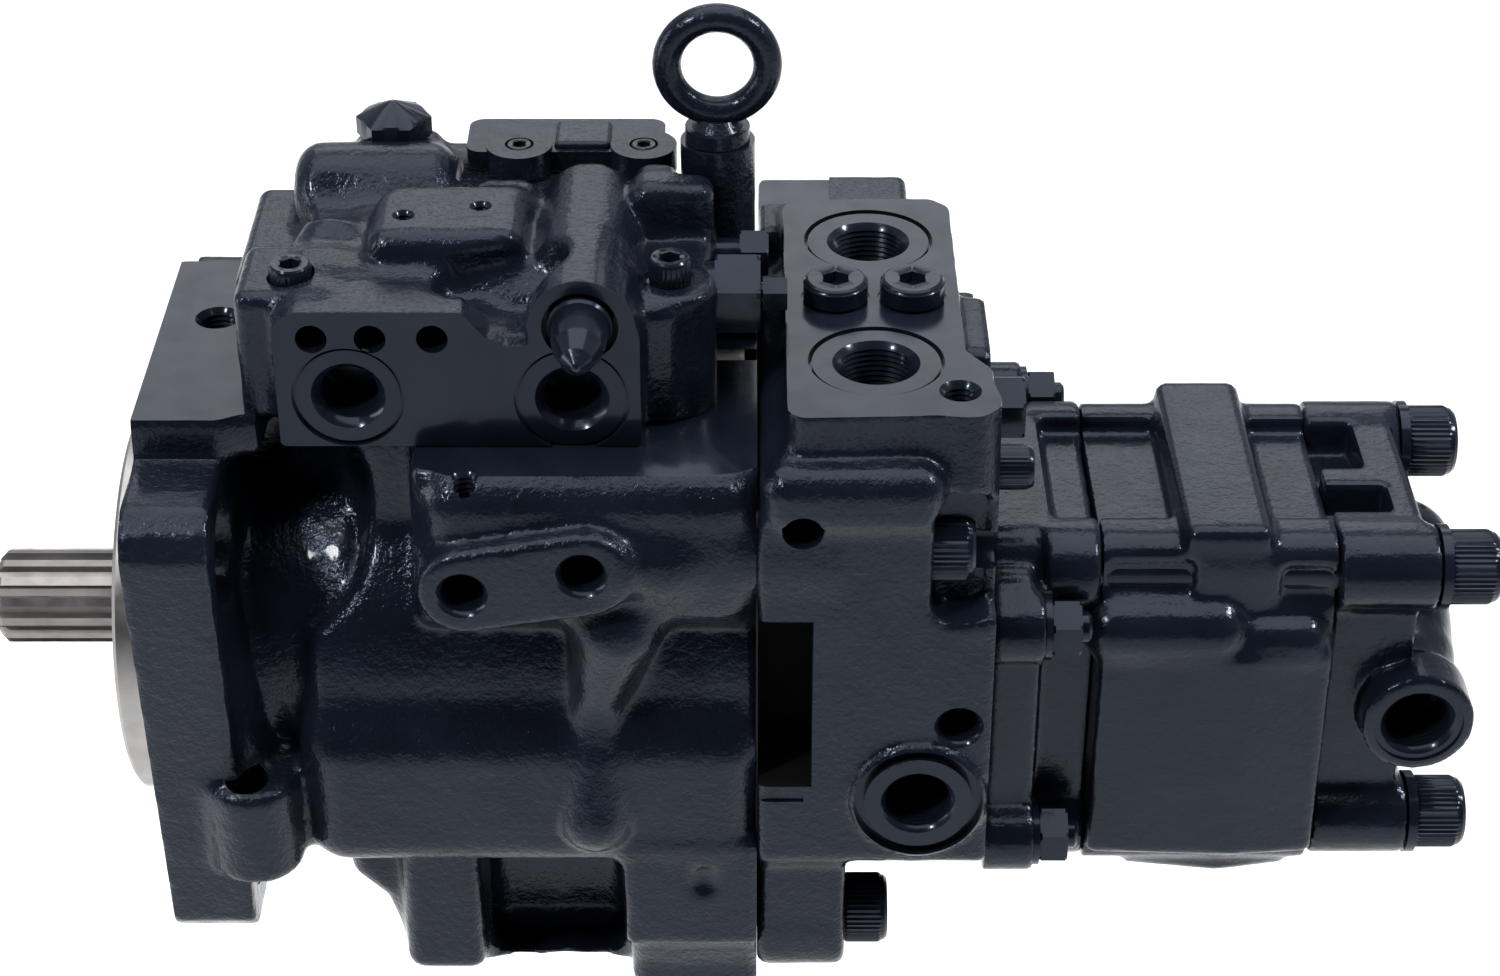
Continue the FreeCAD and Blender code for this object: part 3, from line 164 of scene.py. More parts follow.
EDGES = [((0, 0, 0), (1, 0, 0)), ((0, 1, 0), (1, 1, 0)), ((0, 0, 1), (1, 0, 1)), ((0, 1, 1), (1, 1, 1)),
         ((0, 0, 0), (0, 1, 0)), ((1, 0, 0), (1, 1, 0)), ((0, 0, 1), (0, 1, 1)), ((1, 0, 1), (1, 1, 1)),
         ((0, 0, 0), (0, 0, 1)), ((1, 0, 0), (1, 0, 1)), ((0, 1, 0), (0, 1, 1)), ((1, 1, 0), (1, 1, 1))]


def surface_net(field):
    """A closed quad mesh of the zero level: one point per crossed cell, one face per crossed edge."""
    inside = field < 0
    total = np.zeros(tuple(n - 1 for n in field.shape), np.int8)
    for dx in (0, 1):
        for dy in (0, 1):
            for dz in (0, 1):
                total += inside[dx:dx - 1 or None, dy:dy - 1 or None, dz:dz - 1 or None]
    active = (total > 0) & (total < 8)
    cells = np.argwhere(active)
    index = np.full(total.shape, -1, np.int64)
    index[active] = np.arange(len(cells))
    points = np.zeros((len(cells), 3))
    hits = np.zeros(len(cells))
    for start, end in EDGES:
        a = cells + start
        b = cells + end
        fa = field[a[:, 0], a[:, 1], a[:, 2]]
        fb = field[b[:, 0], b[:, 1], b[:, 2]]
        crossed = (fa < 0) != (fb < 0)
        share = fa[crossed] / (fa[crossed] - fb[crossed])
        points[crossed] += np.array(start) + share[:, None] * (np.array(end) - np.array(start))
        hits[crossed] += 1
    points = cells + points / hits[:, None]
    quads = []
    for axis in range(3):
        u, v = (axis + 1) % 3, (axis + 2) % 3
        step = np.zeros(3, int)
        step[axis] = 1
        n = np.array(field.shape)
        lows = [1, 1, 1]
        lows[axis] = 0
        here = inside[tuple(slice(lows[i], n[i] - 1) for i in range(3))]
        next_slices = [slice(lows[i], n[i] - 1) for i in range(3)]
        next_slices[axis] = slice(lows[axis] + 1, n[axis])
        there = inside[tuple(next_slices)]
        spots = np.argwhere(here != there) + np.array(lows)
        spots = spots[spots[:, axis] < n[axis] - 1]
        du = np.zeros(3, int)
        du[u] = 1
        dv = np.zeros(3, int)
        dv[v] = 1
        ring = [spots - du - dv, spots - dv, spots, spots - du]
        ids = np.stack([index[tuple(r.T)] for r in ring], 1)
        flip = inside[tuple(spots.T)]
        ids[~flip] = ids[~flip][:, ::-1]
        quads.append(ids)
    return points, np.concatenate(quads)


class Form:
    """One simple shape with its distance function and a box that holds it."""

    def __init__(self, low, high, distance):
        self.low = np.array(low, float)
        self.high = np.array(high, float)
        self.distance = distance


def block(x, y, z, r=2.0):
    """A box with rounded edges from three (low, high) spans."""
    low = (x[0], y[0], z[0])
    high = (x[1], y[1], z[1])
    middle = [(a + b) / 2 for a, b in zip(low, high)]
    half = [(b - a) / 2 - r for a, b in zip(low, high)]

    def distance(px, py, pz):
        qx = np.abs(px - middle[0]) - half[0]
        qy = np.abs(py - middle[1]) - half[1]
        qz = np.abs(pz - middle[2]) - half[2]
        outside = np.sqrt(np.maximum(qx, 0) ** 2 + np.maximum(qy, 0) ** 2 + np.maximum(qz, 0) ** 2)
        return outside + np.minimum(np.maximum(np.maximum(qx, qy), qz), 0) - r

    return Form(low, high, distance)


def slab(axis, span, a, b, corner, r=1.5):
    """A plate along one axis whose outline is a rectangle with rounded corners."""
    i = "XYZ".index(axis)
    u, v = [k for k in range(3) if k != i]
    low, high = [0] * 3, [0] * 3
    low[i], high[i] = span
    low[u], high[u] = a
    low[v], high[v] = b

    def distance(*p):
        qu = np.abs(p[u] - (a[0] + a[1]) / 2) - (a[1] - a[0]) / 2 + corner
        qv = np.abs(p[v] - (b[0] + b[1]) / 2) - (b[1] - b[0]) / 2 + corner
        flat = np.sqrt(np.maximum(qu, 0) ** 2 + np.maximum(qv, 0) ** 2)
        flat = flat + np.minimum(np.maximum(qu, qv), 0) - corner
        deep = np.abs(p[i] - (span[0] + span[1]) / 2) - (span[1] - span[0]) / 2
        return rounded_pair(flat, deep, r)

    return Form(low, high, distance)


def rounded_pair(flat, deep, r):
    """Cross a flat outline with a depth, with the rims rounded."""
    a, b = flat + r, deep + r
    return np.sqrt(np.maximum(a, 0) ** 2 + np.maximum(b, 0) ** 2) + np.minimum(np.maximum(a, b), 0) - r


def inset(points, shift):
    """A polygon with every side moved inward."""
    area = sum(p[0] * q[1] - q[0] * p[1] for p, q in zip(points, points[1:] + points[:1]))
    side = 1 if area > 0 else -1
    lines = []
    for p, q in zip(points, points[1:] + points[:1]):
        du, dv = q[0] - p[0], q[1] - p[1]
        size = math.hypot(du, dv)
        lines.append((p[0] - side * dv / size * shift, p[1] + side * du / size * shift, du, dv))
    moved = []
    for (au, av, du, dv), (bu, bv, eu, ev) in zip(lines[-1:] + lines[:-1], lines):
        t = ((bu - au) * ev - (bv - av) * eu) / (du * ev - dv * eu)
        moved.append((au + t * du, av + t * dv))
    return moved


def outline_distance(u, v, points):
    """Signed distance to a polygon in its own plane."""
    near = None
    sign = None
    for p, q in zip(points, points[1:] + points[:1]):
        eu, ev = q[0] - p[0], q[1] - p[1]
        wu, wv = u - p[0], v - p[1]
        t = np.clip((wu * eu + wv * ev) / (eu * eu + ev * ev), 0, 1)
        away = (wu - eu * t) ** 2 + (wv - ev * t) ** 2
        near = away if near is None else np.minimum(near, away)
        low, high, turn = wv >= 0, v < q[1], eu * wv > ev * wu
        flip = (low & high & turn) | (~low & ~high & ~turn)
        sign = flip if sign is None else sign ^ flip
    return np.where(sign, -1.0, 1.0) * np.sqrt(near)


def plate(axis, span, points, corner=3.0, r=1.5):
    """A plate along one axis with a polygon outline whose outer corners are rounded."""
    i = "XYZ".index(axis)
    u, v = [k for k in range(3) if k != i]
    core = inset(points, corner)
    low, high = [0] * 3, [0] * 3
    low[i], high[i] = span
    for k, n in ((u, 0), (v, 1)):
        low[k] = min(p[n] for p in points)
        high[k] = max(p[n] for p in points)

    def distance(*p):
        flat = outline_distance(p[u], p[v], core) - corner
        deep = np.abs(p[i] - (span[0] + span[1]) / 2) - (span[1] - span[0]) / 2
        return rounded_pair(flat, deep, r)

    return Form(low, high, distance)


def drum(axis, centre, radius, span, r=1.5, top=None):
    """A cylinder along one axis, or a cone if a top radius is given; centre is on the other two axes."""
    i = "XYZ".index(axis)
    u, v = [k for k in range(3) if k != i]
    widest = max(radius, top or 0)
    low, high = [0] * 3, [0] * 3
    low[i], high[i] = span
    low[u], high[u] = centre[0] - widest, centre[0] + widest
    low[v], high[v] = centre[1] - widest, centre[1] + widest

    def distance(*p):
        away = np.sqrt((p[u] - centre[0]) ** 2 + (p[v] - centre[1]) ** 2)
        if top is None:
            flat = away - radius
        else:
            share = np.clip((p[i] - span[0]) / (span[1] - span[0]), -0.2, 1.2)
            lean = math.cos(math.atan2(top - radius, span[1] - span[0]))
            flat = (away - (radius + (top - radius) * share)) * lean
        deep = np.abs(p[i] - (span[0] + span[1]) / 2) - (span[1] - span[0]) / 2
        return rounded_pair(flat, deep, r)

    return Form(low, high, distance)


def bone(a, b, ra, rb=None):
    """A straight rod with round ends whose radius changes evenly."""
    rb = ra if rb is None else rb
    a, b = np.array(a, float), np.array(b, float)
    reach = max(ra, rb)

    def distance(px, py, pz):
        d = b - a
        t = ((px - a[0]) * d[0] + (py - a[1]) * d[1] + (pz - a[2]) * d[2]) / float(d @ d)
        t = np.clip(t, 0, 1)
        ax, ay, az = (a[i] + t * d[i] for i in range(3))
        away = np.sqrt((px - ax) ** 2 + (py - ay) ** 2 + (pz - az) ** 2)
        return away - (ra + (rb - ra) * t)

    return Form(np.minimum(a, b) - reach, np.maximum(a, b) + reach, distance)


def pill(axis, span, ends, radius, r=1.5):
    """A plate along one axis whose outline is a stadium between two points."""
    i = "XYZ".index(axis)
    u, v = [k for k in range(3) if k != i]
    (au, av), (bu, bv) = ends
    low, high = [0] * 3, [0] * 3
    low[i], high[i] = span
    low[u], high[u] = min(au, bu) - radius, max(au, bu) + radius
    low[v], high[v] = min(av, bv) - radius, max(av, bv) + radius

    def distance(*p):
        du, dv = bu - au, bv - av
        t = np.clip(((p[u] - au) * du + (p[v] - av) * dv) / (du * du + dv * dv), 0, 1)
        flat = np.sqrt((p[u] - au - t * du) ** 2 + (p[v] - av - t * dv) ** 2) - radius
        deep = np.abs(p[i] - (span[0] + span[1]) / 2) - (span[1] - span[0]) / 2
        return rounded_pair(flat, deep, r)

    return Form(low, high, distance)


# ---------------------------------------------------------------- meshes and machined cuts
def mesh_object(name, verts, faces, material=None):
    made = bpy.data.meshes.new(name)
    made.from_pydata([tuple(c * MM for c in v) for v in verts], [], faces)
    made.update()
    if material:
        made.materials.append(material)
    obj = bpy.data.objects.new(name, made)
    bpy.context.scene.collection.objects.link(obj)
    return obj


def along(axis, a, b, c):
    """A point from (along, first, second) coordinates about one axis."""
    if axis == "X":
        return (a, b, c)
    if axis == "Y":
        return (b, a, c)
    return (b, c, a)


def rings(axis, centre, outline, sides):
    """Points of an outline turned about an axis; a radius may be a function of the angle."""
    verts = []
    for place, radius in outline:
        for k in range(sides):
            angle = 2 * math.pi * k / sides
            r = radius(angle) if callable(radius) else radius
            u, v = centre[0] + r * math.cos(angle), centre[1] + r * math.sin(angle)
            verts.append(along(axis, place, u, v))
    return verts


def belt(first, second, sides):
    """The faces between two rings of points."""
    faces = []
    for k in range(sides):
        n = (k + 1) % sides
        faces.append((first * sides + k, first * sides + n, second * sides + n, second * sides + k))
    return faces


def lathe(name, axis, centre, outline, material=None, sides=64):
    """A solid turned from (along, radius) points, closed by a flat face at both ends."""
    faces = []
    for ring in range(len(outline) - 1):
        faces += belt(ring, ring + 1, sides)
    faces.append(tuple(range(sides))[::-1])
    faces.append(tuple((len(outline) - 1) * sides + k for k in range(sides)))
    obj = mesh_object(name, rings(axis, centre, outline, sides), faces, material)
    fix_normals(obj)
    return obj


def fix_normals(obj):
    """Point every face outward, whichever way it was listed."""
    shape = bmesh.new()
    shape.from_mesh(obj.data)
    bmesh.ops.recalc_face_normals(shape, faces=shape.faces)
    shape.to_mesh(obj.data)
    shape.free()


def threads(start, end, radius, pitch=1.8, depth=0.65, chamfer=1.4):
    """Outline of a threaded hole from its mouth inwards, with a chamfered mouth and a plain end."""
    away = 1 if end > start else -1
    mouth = radius + chamfer
    outline = [(start - away * 2.0, mouth), (start, mouth), (start + away * chamfer, radius)]
    place = start + away * chamfer
    while (end - place) * away > pitch + 3:
        outline.append((place + away * pitch * 0.5, radius - depth))
        outline.append((place + away * pitch, radius))
        place += away * pitch
    outline.append((place + away * 0.8, radius - depth))
    outline.append((end, radius - depth))
    return outline


def box_cutter(x, y, z, material=None):
    verts = [(a, b, c) for a in x for b in y for c in z]
    faces = [(0, 1, 3, 2), (4, 6, 7, 5), (0, 4, 5, 1), (2, 3, 7, 6), (0, 2, 6, 4), (1, 5, 7, 3)]
    obj = mesh_object("cutter", verts, faces, material)
    fix_normals(obj)
    return obj


def plate_cutter(axis, span, points, material=None):
    """A cutter with a polygon outline drawn in the plane square to one axis."""
    count = len(points)
    verts = [along(axis, span[0], *p) for p in points] + [along(axis, span[1], *p) for p in points]
    faces = [tuple(range(count))[::-1], tuple(range(count, 2 * count))]
    for k in range(count):
        n = (k + 1) % count
        faces.append((k, n, count + n, count + k))
    obj = mesh_object("cutter", verts, faces, material)
    fix_normals(obj)
    return obj


def machine(obj, cutters, way="DIFFERENCE"):
    """Cut the machined faces and holes; each cutter's own material goes on the faces it makes."""
    for cutter in cutters:
        step = obj.modifiers.new("cut", "BOOLEAN")
        step.operation = way
        step.object = cutter
        step.solver = "MANIFOLD"
        step.material_mode = "TRANSFER"
        before = len(obj.data.polygons)
        apply_modifiers(obj)
        if len(obj.data.polygons) < before * 0.3:
            raise RuntimeError("a cut emptied %s" % obj.name)
        bpy.data.objects.remove(cutter)
    return obj


def apply_modifiers(obj):
    graph = bpy.context.evaluated_depsgraph_get()
    made = bpy.data.meshes.new_from_object(obj.evaluated_get(graph))
    old = obj.data
    obj.modifiers.clear()
    obj.data = made
    bpy.data.meshes.remove(old)


def dress(obj, body, nodes, angle=38):
    """Shade, tie to its body and let it stand for its CAD nodes."""
    for polygon in obj.data.polygons:
        polygon.use_smooth = True
    obj.data.set_sharp_from_angle(angle=math.radians(angle))
    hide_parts(*nodes)
    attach(obj, body)
    return obj


# ---------------------------------------------------------------- materials
def shader(name):
    material = bpy.data.materials.new(name)
    material.use_nodes = True
    tree = material.node_tree
    return material, tree, tree.nodes["Principled BSDF"]


def link(tree, source, output, target, name):
    tree.links.new(source.outputs[output], target.inputs[name])


def noise(tree, scale, detail=3.0, rough=0.5, distort=0.0):
    made = tree.nodes.new("ShaderNodeTexNoise")
    made.inputs["Scale"].default_value = scale
    made.inputs["Detail"].default_value = detail
    made.inputs["Roughness"].default_value = rough
    made.inputs["Distortion"].default_value = distort
    place = tree.nodes.get("place") or tree.nodes.new("ShaderNodeTexCoord")
    place.name = "place"
    tree.links.new(place.outputs["Object"], made.inputs["Vector"])
    return made


def ramp(tree, source, output, stops):
    made = tree.nodes.new("ShaderNodeValToRGB")
    elements = made.color_ramp.elements
    while len(elements) < len(stops):
        elements.new(0.5)
    for element, (place, colour) in zip(elements, stops):
        element.position = place
        element.color = (*colour, 1) if len(colour) == 3 else colour
    tree.links.new(source.outputs[output], made.inputs["Fac"])
    return made


def grey(value):
    return (value, value, value)


def bumps(tree, target, layers):
    """A chain of bump nodes from (height texture, output, strength, distance in metres)."""
    last = None
    for texture, output, strength, distance in layers:
        made = tree.nodes.new("ShaderNodeBump")
        made.inputs["Strength"].default_value = strength
        made.inputs["Distance"].default_value = distance
        tree.links.new(texture.outputs[output], made.inputs["Height"])
        if last:
            tree.links.new(last.outputs["Normal"], made.inputs["Normal"])
        last = made
    tree.links.new(last.outputs["Normal"], target.inputs["Normal"])


def paint(name, grain, rough, body=(0.0058, 0.0078, 0.0135)):
    """Dark blue-black enamel; grain is the height in metres of the casting texture under it."""
    material, tree, main = shader(name)
    tint = noise(tree, 38, 3)
    deep, pale = tuple(c * 0.75 for c in body), tuple(c * 1.3 for c in body)
    colour = ramp(tree, tint, "Fac", [(0.3, deep), (0.7, pale)])
    link(tree, colour, "Color", main, "Base Color")
    gloss = noise(tree, 90, 4)
    level = ramp(tree, gloss, "Fac", [(0.3, grey(rough * 0.7)), (0.75, grey(rough * 1.4))])
    link(tree, level, "Color", main, "Roughness")
    main.inputs["Specular IOR Level"].default_value = 0.21
    main.inputs["Specular Tint"].default_value = (0.64, 0.77, 1.0, 1)
    main.inputs["Coat Weight"].default_value = 0.12
    main.inputs["Coat Roughness"].default_value = 0.06
    layers = []
    if grain > 0:
        lumps = noise(tree, 420, 2, 0.55)
        pits = noise(tree, 950, 2, 0.6)
        swell = noise(tree, 120, 2, 0.5)
        layers.append((swell, "Fac", 0.6, grain * 1.3))
        layers.append((lumps, "Fac", 0.9, grain * 1.5))
        layers.append((pits, "Fac", 0.9, grain * 0.8))
    peel = noise(tree, 260, 1, 0.4)
    layers.append((peel, "Fac", 0.3, 0.00012))
    bumps(tree, main, layers)
    return material


CAST = paint("cast_paint", 0.0003, 0.16)
SMOOTH = paint("machined_paint", 0.0, 0.2)
SATIN = paint("fine_cast_paint", 0.00016, 0.17)
STEEL_PAINT = paint("fastener_paint", 0.00004, 0.2)
FORGED = paint("forged_paint", 0.00022, 0.2)


def bare_metal(name, colour, rough, streak=400):
    material, tree, main = shader(name)
    main.inputs["Metallic"].default_value = 0.95
    tint = noise(tree, 60, 4)
    base = ramp(tree, tint, "Fac", [(0.3, tuple(c * 0.72 for c in colour)), (0.72, colour)])
    link(tree, base, "Color", main, "Base Color")
    wear = noise(tree, 140, 4)
    level = ramp(tree, wear, "Fac", [(0.3, grey(rough * 0.8)), (0.75, grey(rough * 1.4))])
    link(tree, level, "Color", main, "Roughness")
    lines = noise(tree, streak, 2)
    bumps(tree, main, [(lines, "Fac", 0.3, 0.00005)])
    return material


STEEL = bare_metal("bare_steel", (0.40, 0.385, 0.37), 0.34)
SHAFT = bare_metal("shaft_steel", (0.27, 0.255, 0.245), 0.4)
BRONZE = bare_metal("bronze", (0.55, 0.38, 0.19), 0.38)


def dull(name, colour, rough):
    material, tree, main = shader(name)
    tint = noise(tree, 80, 3)
    base = ramp(tree, tint, "Fac", [(0.3, tuple(c * 0.7 for c in colour)), (0.72, colour)])
    link(tree, base, "Color", main, "Base Color")
    wear = noise(tree, 160, 3)
    level = ramp(tree, wear, "Fac", [(0.3, grey(rough * 0.85)), (0.75, grey(min(1.0, rough * 1.15)))])
    link(tree, level, "Color", main, "Roughness")
    main.inputs["Specular IOR Level"].default_value = 0.12
    grain = noise(tree, 900, 2)
    bumps(tree, main, [(grain, "Fac", 0.3, 0.00008)])
    return material


GASKET = dull("gasket_fibre", (0.02, 0.02, 0.022), 0.8)
# Near-black matte paint for the deep slot in the end cover: painted shade, not a real material of the part
PAINTED_SHADE = dull("slot_painted_shade", (0.004, 0.004, 0.005), 0.9)
RUBBER = dull("seal_rubber", (0.015, 0.015, 0.016), 0.55)


# ---------------------------------------------------------------- castings
def bore(axis, centre, outline, sides=64):
    """A turned cutter with a machined finish."""
    return lathe("cutter", axis, centre, outline, SMOOTH, sides)


def hole(axis, centre, start, end, radius, thread=True, chamfer=1.2):
    """A cutter for one drilled or threaded hole."""
    if thread:
        depth = 0.38 if axis == "Y" else 0.6
        return bore(axis, centre, threads(start, end, radius, depth=depth, chamfer=chamfer))
    away = 1 if end > start else -1
    return bore(axis, centre, [(start - away * 2, radius), (end, radius)])


def spot(axis, centre, start, end, radius):
    """A shallow machined recess."""
    away = 1 if end > start else -1
    return bore(axis, centre, [(start - away * 3, radius), (end, radius)], 96)


def tube(axis, centre, outline, material, sides):
    """A closed ring turned from an outline that comes back to its start."""
    faces = []
    for ring in range(len(outline)):
        faces += belt(ring, (ring + 1) % len(outline), sides)
    obj = mesh_object("tube", rings(axis, centre, outline, sides), faces, material)
    fix_normals(obj)
    return obj


def ring_cut(axis, centre, start, end, inner, outer):
    """A shallow ring groove."""
    return tube(axis, centre, [(start, outer), (end, outer), (end, inner), (start, inner)], SMOOTH, 96)


# Machined planes of the castings
CASE_END = 189.35
CASE_BOTTOM = -111.9
DECK = 92.5
PAD_TOP = 99.4
PILLAR_TOP = 153.5
COVER_START = 189.45
COVER_END = 262
PORT_TOP = 113
VALVE_FRONT = -56
VALVE_BASE = 93

# Fastener places as (Y, Z)
STUDS = ((-57, 27), (57, 43), (-57, -55), (57, -55))
SCREWS = ((-66, 64), (-60, -84), (66, 64), (60, -84))
PUMP = ((-38, 37), (38, 37), (-38, -61), (38, -61))

# Outlines of cast plates, in the plane square to the plate
PUMP_SIDES = [(297.6, -55.5), (346, -57.5), (372, -55), (372, 55), (346, 57.5), (297.6, 55.5)]
BELLY = [(48, -30), (56, -74), (66, -84), (74, -107), (80, -112), (191, -112), (191, 0), (60, 0)]
FLANGE_SIDE = [(50, 101), (52, 86), (79, 85.5), (87, 80), (90, 72), (76.5, -76), (70, -83)]
PORT_FACE = [(198, 62), (202, 67), (247, 68), (253, 62), (253, -33), (260.5, -44), (260.5, -66),
             (256, -71), (202, -73), (198, -69)]
VALVE_FACE = [(45.7, 93), (45.7, 134), (52, 139), (102, 139), (109, 130.5), (115, 127.6), (122, 127.6),
              (127, 140), (150, 144), (154.5, 130), (154.5, 93)]


def main_case():
    """Flange, neck, barrel, deck and feet of the case."""
    cast = Cast((-3, -94, -116), (193, 94, 159), 1.6)
    cast.add(drum("X", (0, 0), 72, (50, 191), 5), 0)
    cast.add(slab("X", (40, 191), (-45, 66), (0, 94), 9, 4), 5)
    cast.add(slab("X", (85, 191), (-70, 66), (34, 94), 6, 4), 5)
    cast.add(block((87, 191), (-80, -20), (39, 93.5), 13), 5)
    cast.add(block((82, 191), (20, 80), (-50, 84), 10), 6)
    cast.add(block((46, 191), (-81, -20), (-53, 2), 13), 11)
    cast.add(plate("Y", (-58, 60), BELLY, 7, 8), 8)
    cast.add(block((73, 100), (-66, -40), (-108, -50), 6), 5)
    cast.add(block((146, 191), (-81, -40), (-84, -40), 4), 4)
    cast.add(block((148, 191), (-72, 60), (-112, -60), 7), 4)
    cast.carve(bone((28, -62, 68), (28, -66, 70), 45.5), 3)
    cast.add(bone((146, -72, 38), (139.5, -72, 10), 15, 7), 7)
    cast.add(bone((139.5, -70, 10), (138.5, -77, -31), 7, 12.3), 3)
    cast.carve(block((101, 145), (-90, -36), (-109, -58), 7), 5)
    cast.add(pill("Y", (-88, -70), ((101.5, 60), (138, 66)), 14.5, 3), 3)
    cast.add(bone((148, -76, 66), (160, -73, 63), 10, 12), 6)
    cast.add(drum("X", (0, 0), 60, (18, 62), 2, 68), 6)
    flange = [(-y, z) for y, z in FLANGE_SIDE] + FLANGE_SIDE[::-1]
    cast.add(plate("X", (-1, 26.5), flange, 4, 2), 5)
    cast.add(slab("X", (-1, 38), (-50, 38), (84, 101), 6, 2), 9)
    cast.carve(bone((26, -60, 57), (44, -58, 57), 16, 12), 5)
    cast.add(slab("Z", (-51, -15.5), (15.5, 44.5), (-90, -50), 14, 4), 5)
    cast.add(block((20, 60), (-70, -40), (-50, -18), 8), 8)
    cast.add(bone((26, -66, -14), (20, -62, 34), 8.5, 7), 7)
    cast.carve(bone((172.5, -84, -55), (172.5, -84, -57), 5.5), 2)
    cast.add(drum("Z", (177, 30), 11.8, (60, 156), 1.0), 6)
    cast.add(block((158, 190), (18, 44), (60, 106), 5), 6)
    for y, z in SCREWS:
        cast.add(drum("X", (y, z), 15, (150, 191), 3), 6)
    cast.roughen(0.12, 6, 3)
    obj = cast.mesh("main_case_casting", [CAST])
    machine(obj, [
        box_cutter((-20, 0.0), (-100, 100), (-100, 130), SMOOTH),
        box_cutter((CASE_END, 200), (-100, 100), (-130, 160), SMOOTH),
        box_cutter((-10, 200), (-120, 120), (-130, CASE_BOTTOM), CAST),
        box_cutter((-5, 41), (-100, 50), (PAD_TOP, 130), SMOOTH),
        box_cutter((41, 166), (-90, 90), (DECK, 112), SMOOTH),
        box_cutter((165, 195), (10, 50), (PILLAR_TOP, 160), SMOOTH),
        box_cutter((166, 195), (-90, 10), (DECK, 112), SMOOTH),
    ])
    seal_seat = [(-20, 27.5), (-2.2, 27.5), (-2.2, 26), (9.5, 26), (9.5, 36), (40, 36)]
    spigot = lathe("spigot", "X", (0, 0), [(6, 63.5), (-11.5, 63.5), (-12.7, 62.3)], STEEL, 128)
    machine(obj, [spigot], "UNION")
    cutters = [
        bore("X", (0, 0), [(61, 60), (195, 60)], 96),
        bore("X", (0, 0), [(29, 58), (66, 58)], 96),
        lathe("cutter", "X", (0, 0), seal_seat, STEEL, 96),
        bore("X", (0, 80), [(47, 10.53), (165, 10.53), (165, 13), (195, 13)]),
        box_cutter((54, 106), (-7, 7), (50, 78), SMOOTH),
        hole("Z", (29, -80), -15.5, -40, 7, False),
        hole("Z", (17.4, 11.6), PAD_TOP, 84, 6.0),
        hole("Y", (101, 60), -88, -70, 6.8),
        hole("Y", (137, 67), -88, -70, 6.8),
        hole("Z", (102.3, -73.8), DECK, 80, 3.8, True, 0.6),
        hole("Z", (177, 30), PILLAR_TOP, 105, 5.0, False),
    ]
    for y in (-57.25, 57.25):
        for z in (-57.25, 57.25):
            cutters.append(bore("X", (y, z), [(-5, 7.15), (26, 7.15), (26, 15), (40, 15), (52, 9)]))
    machine(obj, cutters)
    return dress(obj, "housing", ["main_case"])


def end_cover():
    """Port block with the main ports on top, one port in front and a screw pocket on each side."""
    cast = Cast((187, -94, -104), (267, 97, 117), 1.5)
    cast.add(slab("X", (190, 262.5), (-81.5, 78), (-50, 82), 6, 2), 0)
    cast.add(block((190, 246), (-84.5, 70), (76, 99), 9), 3)
    cast.add(plate("Z", (70, 114.5), PORT_FACE, 4, 2), 4)
    cast.add(bone((252, -66, 74), (252, -62, 112), 10.5, 9.5), 4)
    cast.add(slab("X", (190, 218), (-77, 78), (-100, 0), 12, 3), 6)
    cast.add(slab("X", (200, 262.5), (-46, 46), (-76, 0), 10, 2), 6)
    cast.add(slab("X", (190, 240), (50, 93), (40, 110), 4, 3), 5)
    cast.add(block((246, 264), (-20, 20), (60, 104), 5), 4)
    cast.add(drum("Y", (240, -21.5), 21.5, (-84.8, -70), 1.2), 2)
    for y, z in SCREWS:
        cast.add(drum("X", (y, z), 15, (190, 215), 3), 5)
    cast.carve(slab("Y", (-110, -68), (243, 259), (45, 87), 6), 2)
    cast.carve(block((243, 300), (-110, -70), (47, 85), 4), 3)
    cast.carve(block((243, 300), (62, 110), (50, 96), 5), 2)
    cast.roughen(0.1, 6, 8)
    obj = cast.mesh("end_cover_casting", [CAST])
    cutters = [
        box_cutter((150, COVER_START), (-120, 120), (-130, 160), SMOOTH),
        box_cutter((COVER_END, 300), (-120, 120), (-130, 160), SMOOTH),
        plate_cutter("Z", (PORT_TOP, 130), [(180, -90), (280, -90), (280, 90), (180, 90)], SMOOTH),
        # The slot's cut faces take the near-black matte paint: painted shade standing in for the slot's
        # depth
        box_cutter((180, 206.5), (-100, -57), (-17, 46), PAINTED_SHADE),
        box_cutter((180, 204), (-100, -80.6), (-23, -20.5), SMOOTH),
        box_cutter((180, 214), (70, 100), (107.5, 120), SMOOTH),
        bore("X", (0, 0), [(180, 20), (191.6, 20), (191.6, 26), (208, 26), (208, 20), (270, 20)], 96),
        spot("Y", (240, -21.5), -84.8, -84.2, 17.0),
        ring_cut("Y", (240, -21.5), -87, -81.5, 17.0, 20.3),
        hole("Y", (240, -21.5), -84.2, -60, 10.6),
        hole("Y", (203, 79), -86, -66, 6.6),
        hole("Y", (252, 6), -81.5, -66, 6.6),
        hole("Z", (250, -57), PORT_TOP, 94, 5.2),
        bore("X", (-15, 82), [(244, 5.04), (270, 5.04)]),
        bore("X", (-44, 78), [(246, 4.94), (270, 4.94)]),
    ]
    for y in (-39, 39):
        cutters.append(spot("Z", (225.5, y), PORT_TOP, 112.3, 20.8))
        cutters.append(ring_cut("Z", (225.5, y), 114, 110.8, 19.6, 20.8))
        cutters.append(hole("Z", (225.5, y), 112.3, 76, 12.2, True, 1.2))
    for x in (214, 238):
        cutters.append(spot("Z", (x, 0), PORT_TOP, 112.6, 10.9))
        cutters.append(hole("Z", (x, 0), PORT_TOP, 100, 7.0, False))
    for y, z in SCREWS:
        cutters.append(bore("X", (y, z), [(180, 7.5), (270, 7.5)]))
    for y, z in STUDS:
        cutters.append(bore("X", (y, z), [(245, 5.0), (270, 5.0)]))
    machine(obj, cutters)
    return dress(obj, "housing", ["end_cover"])


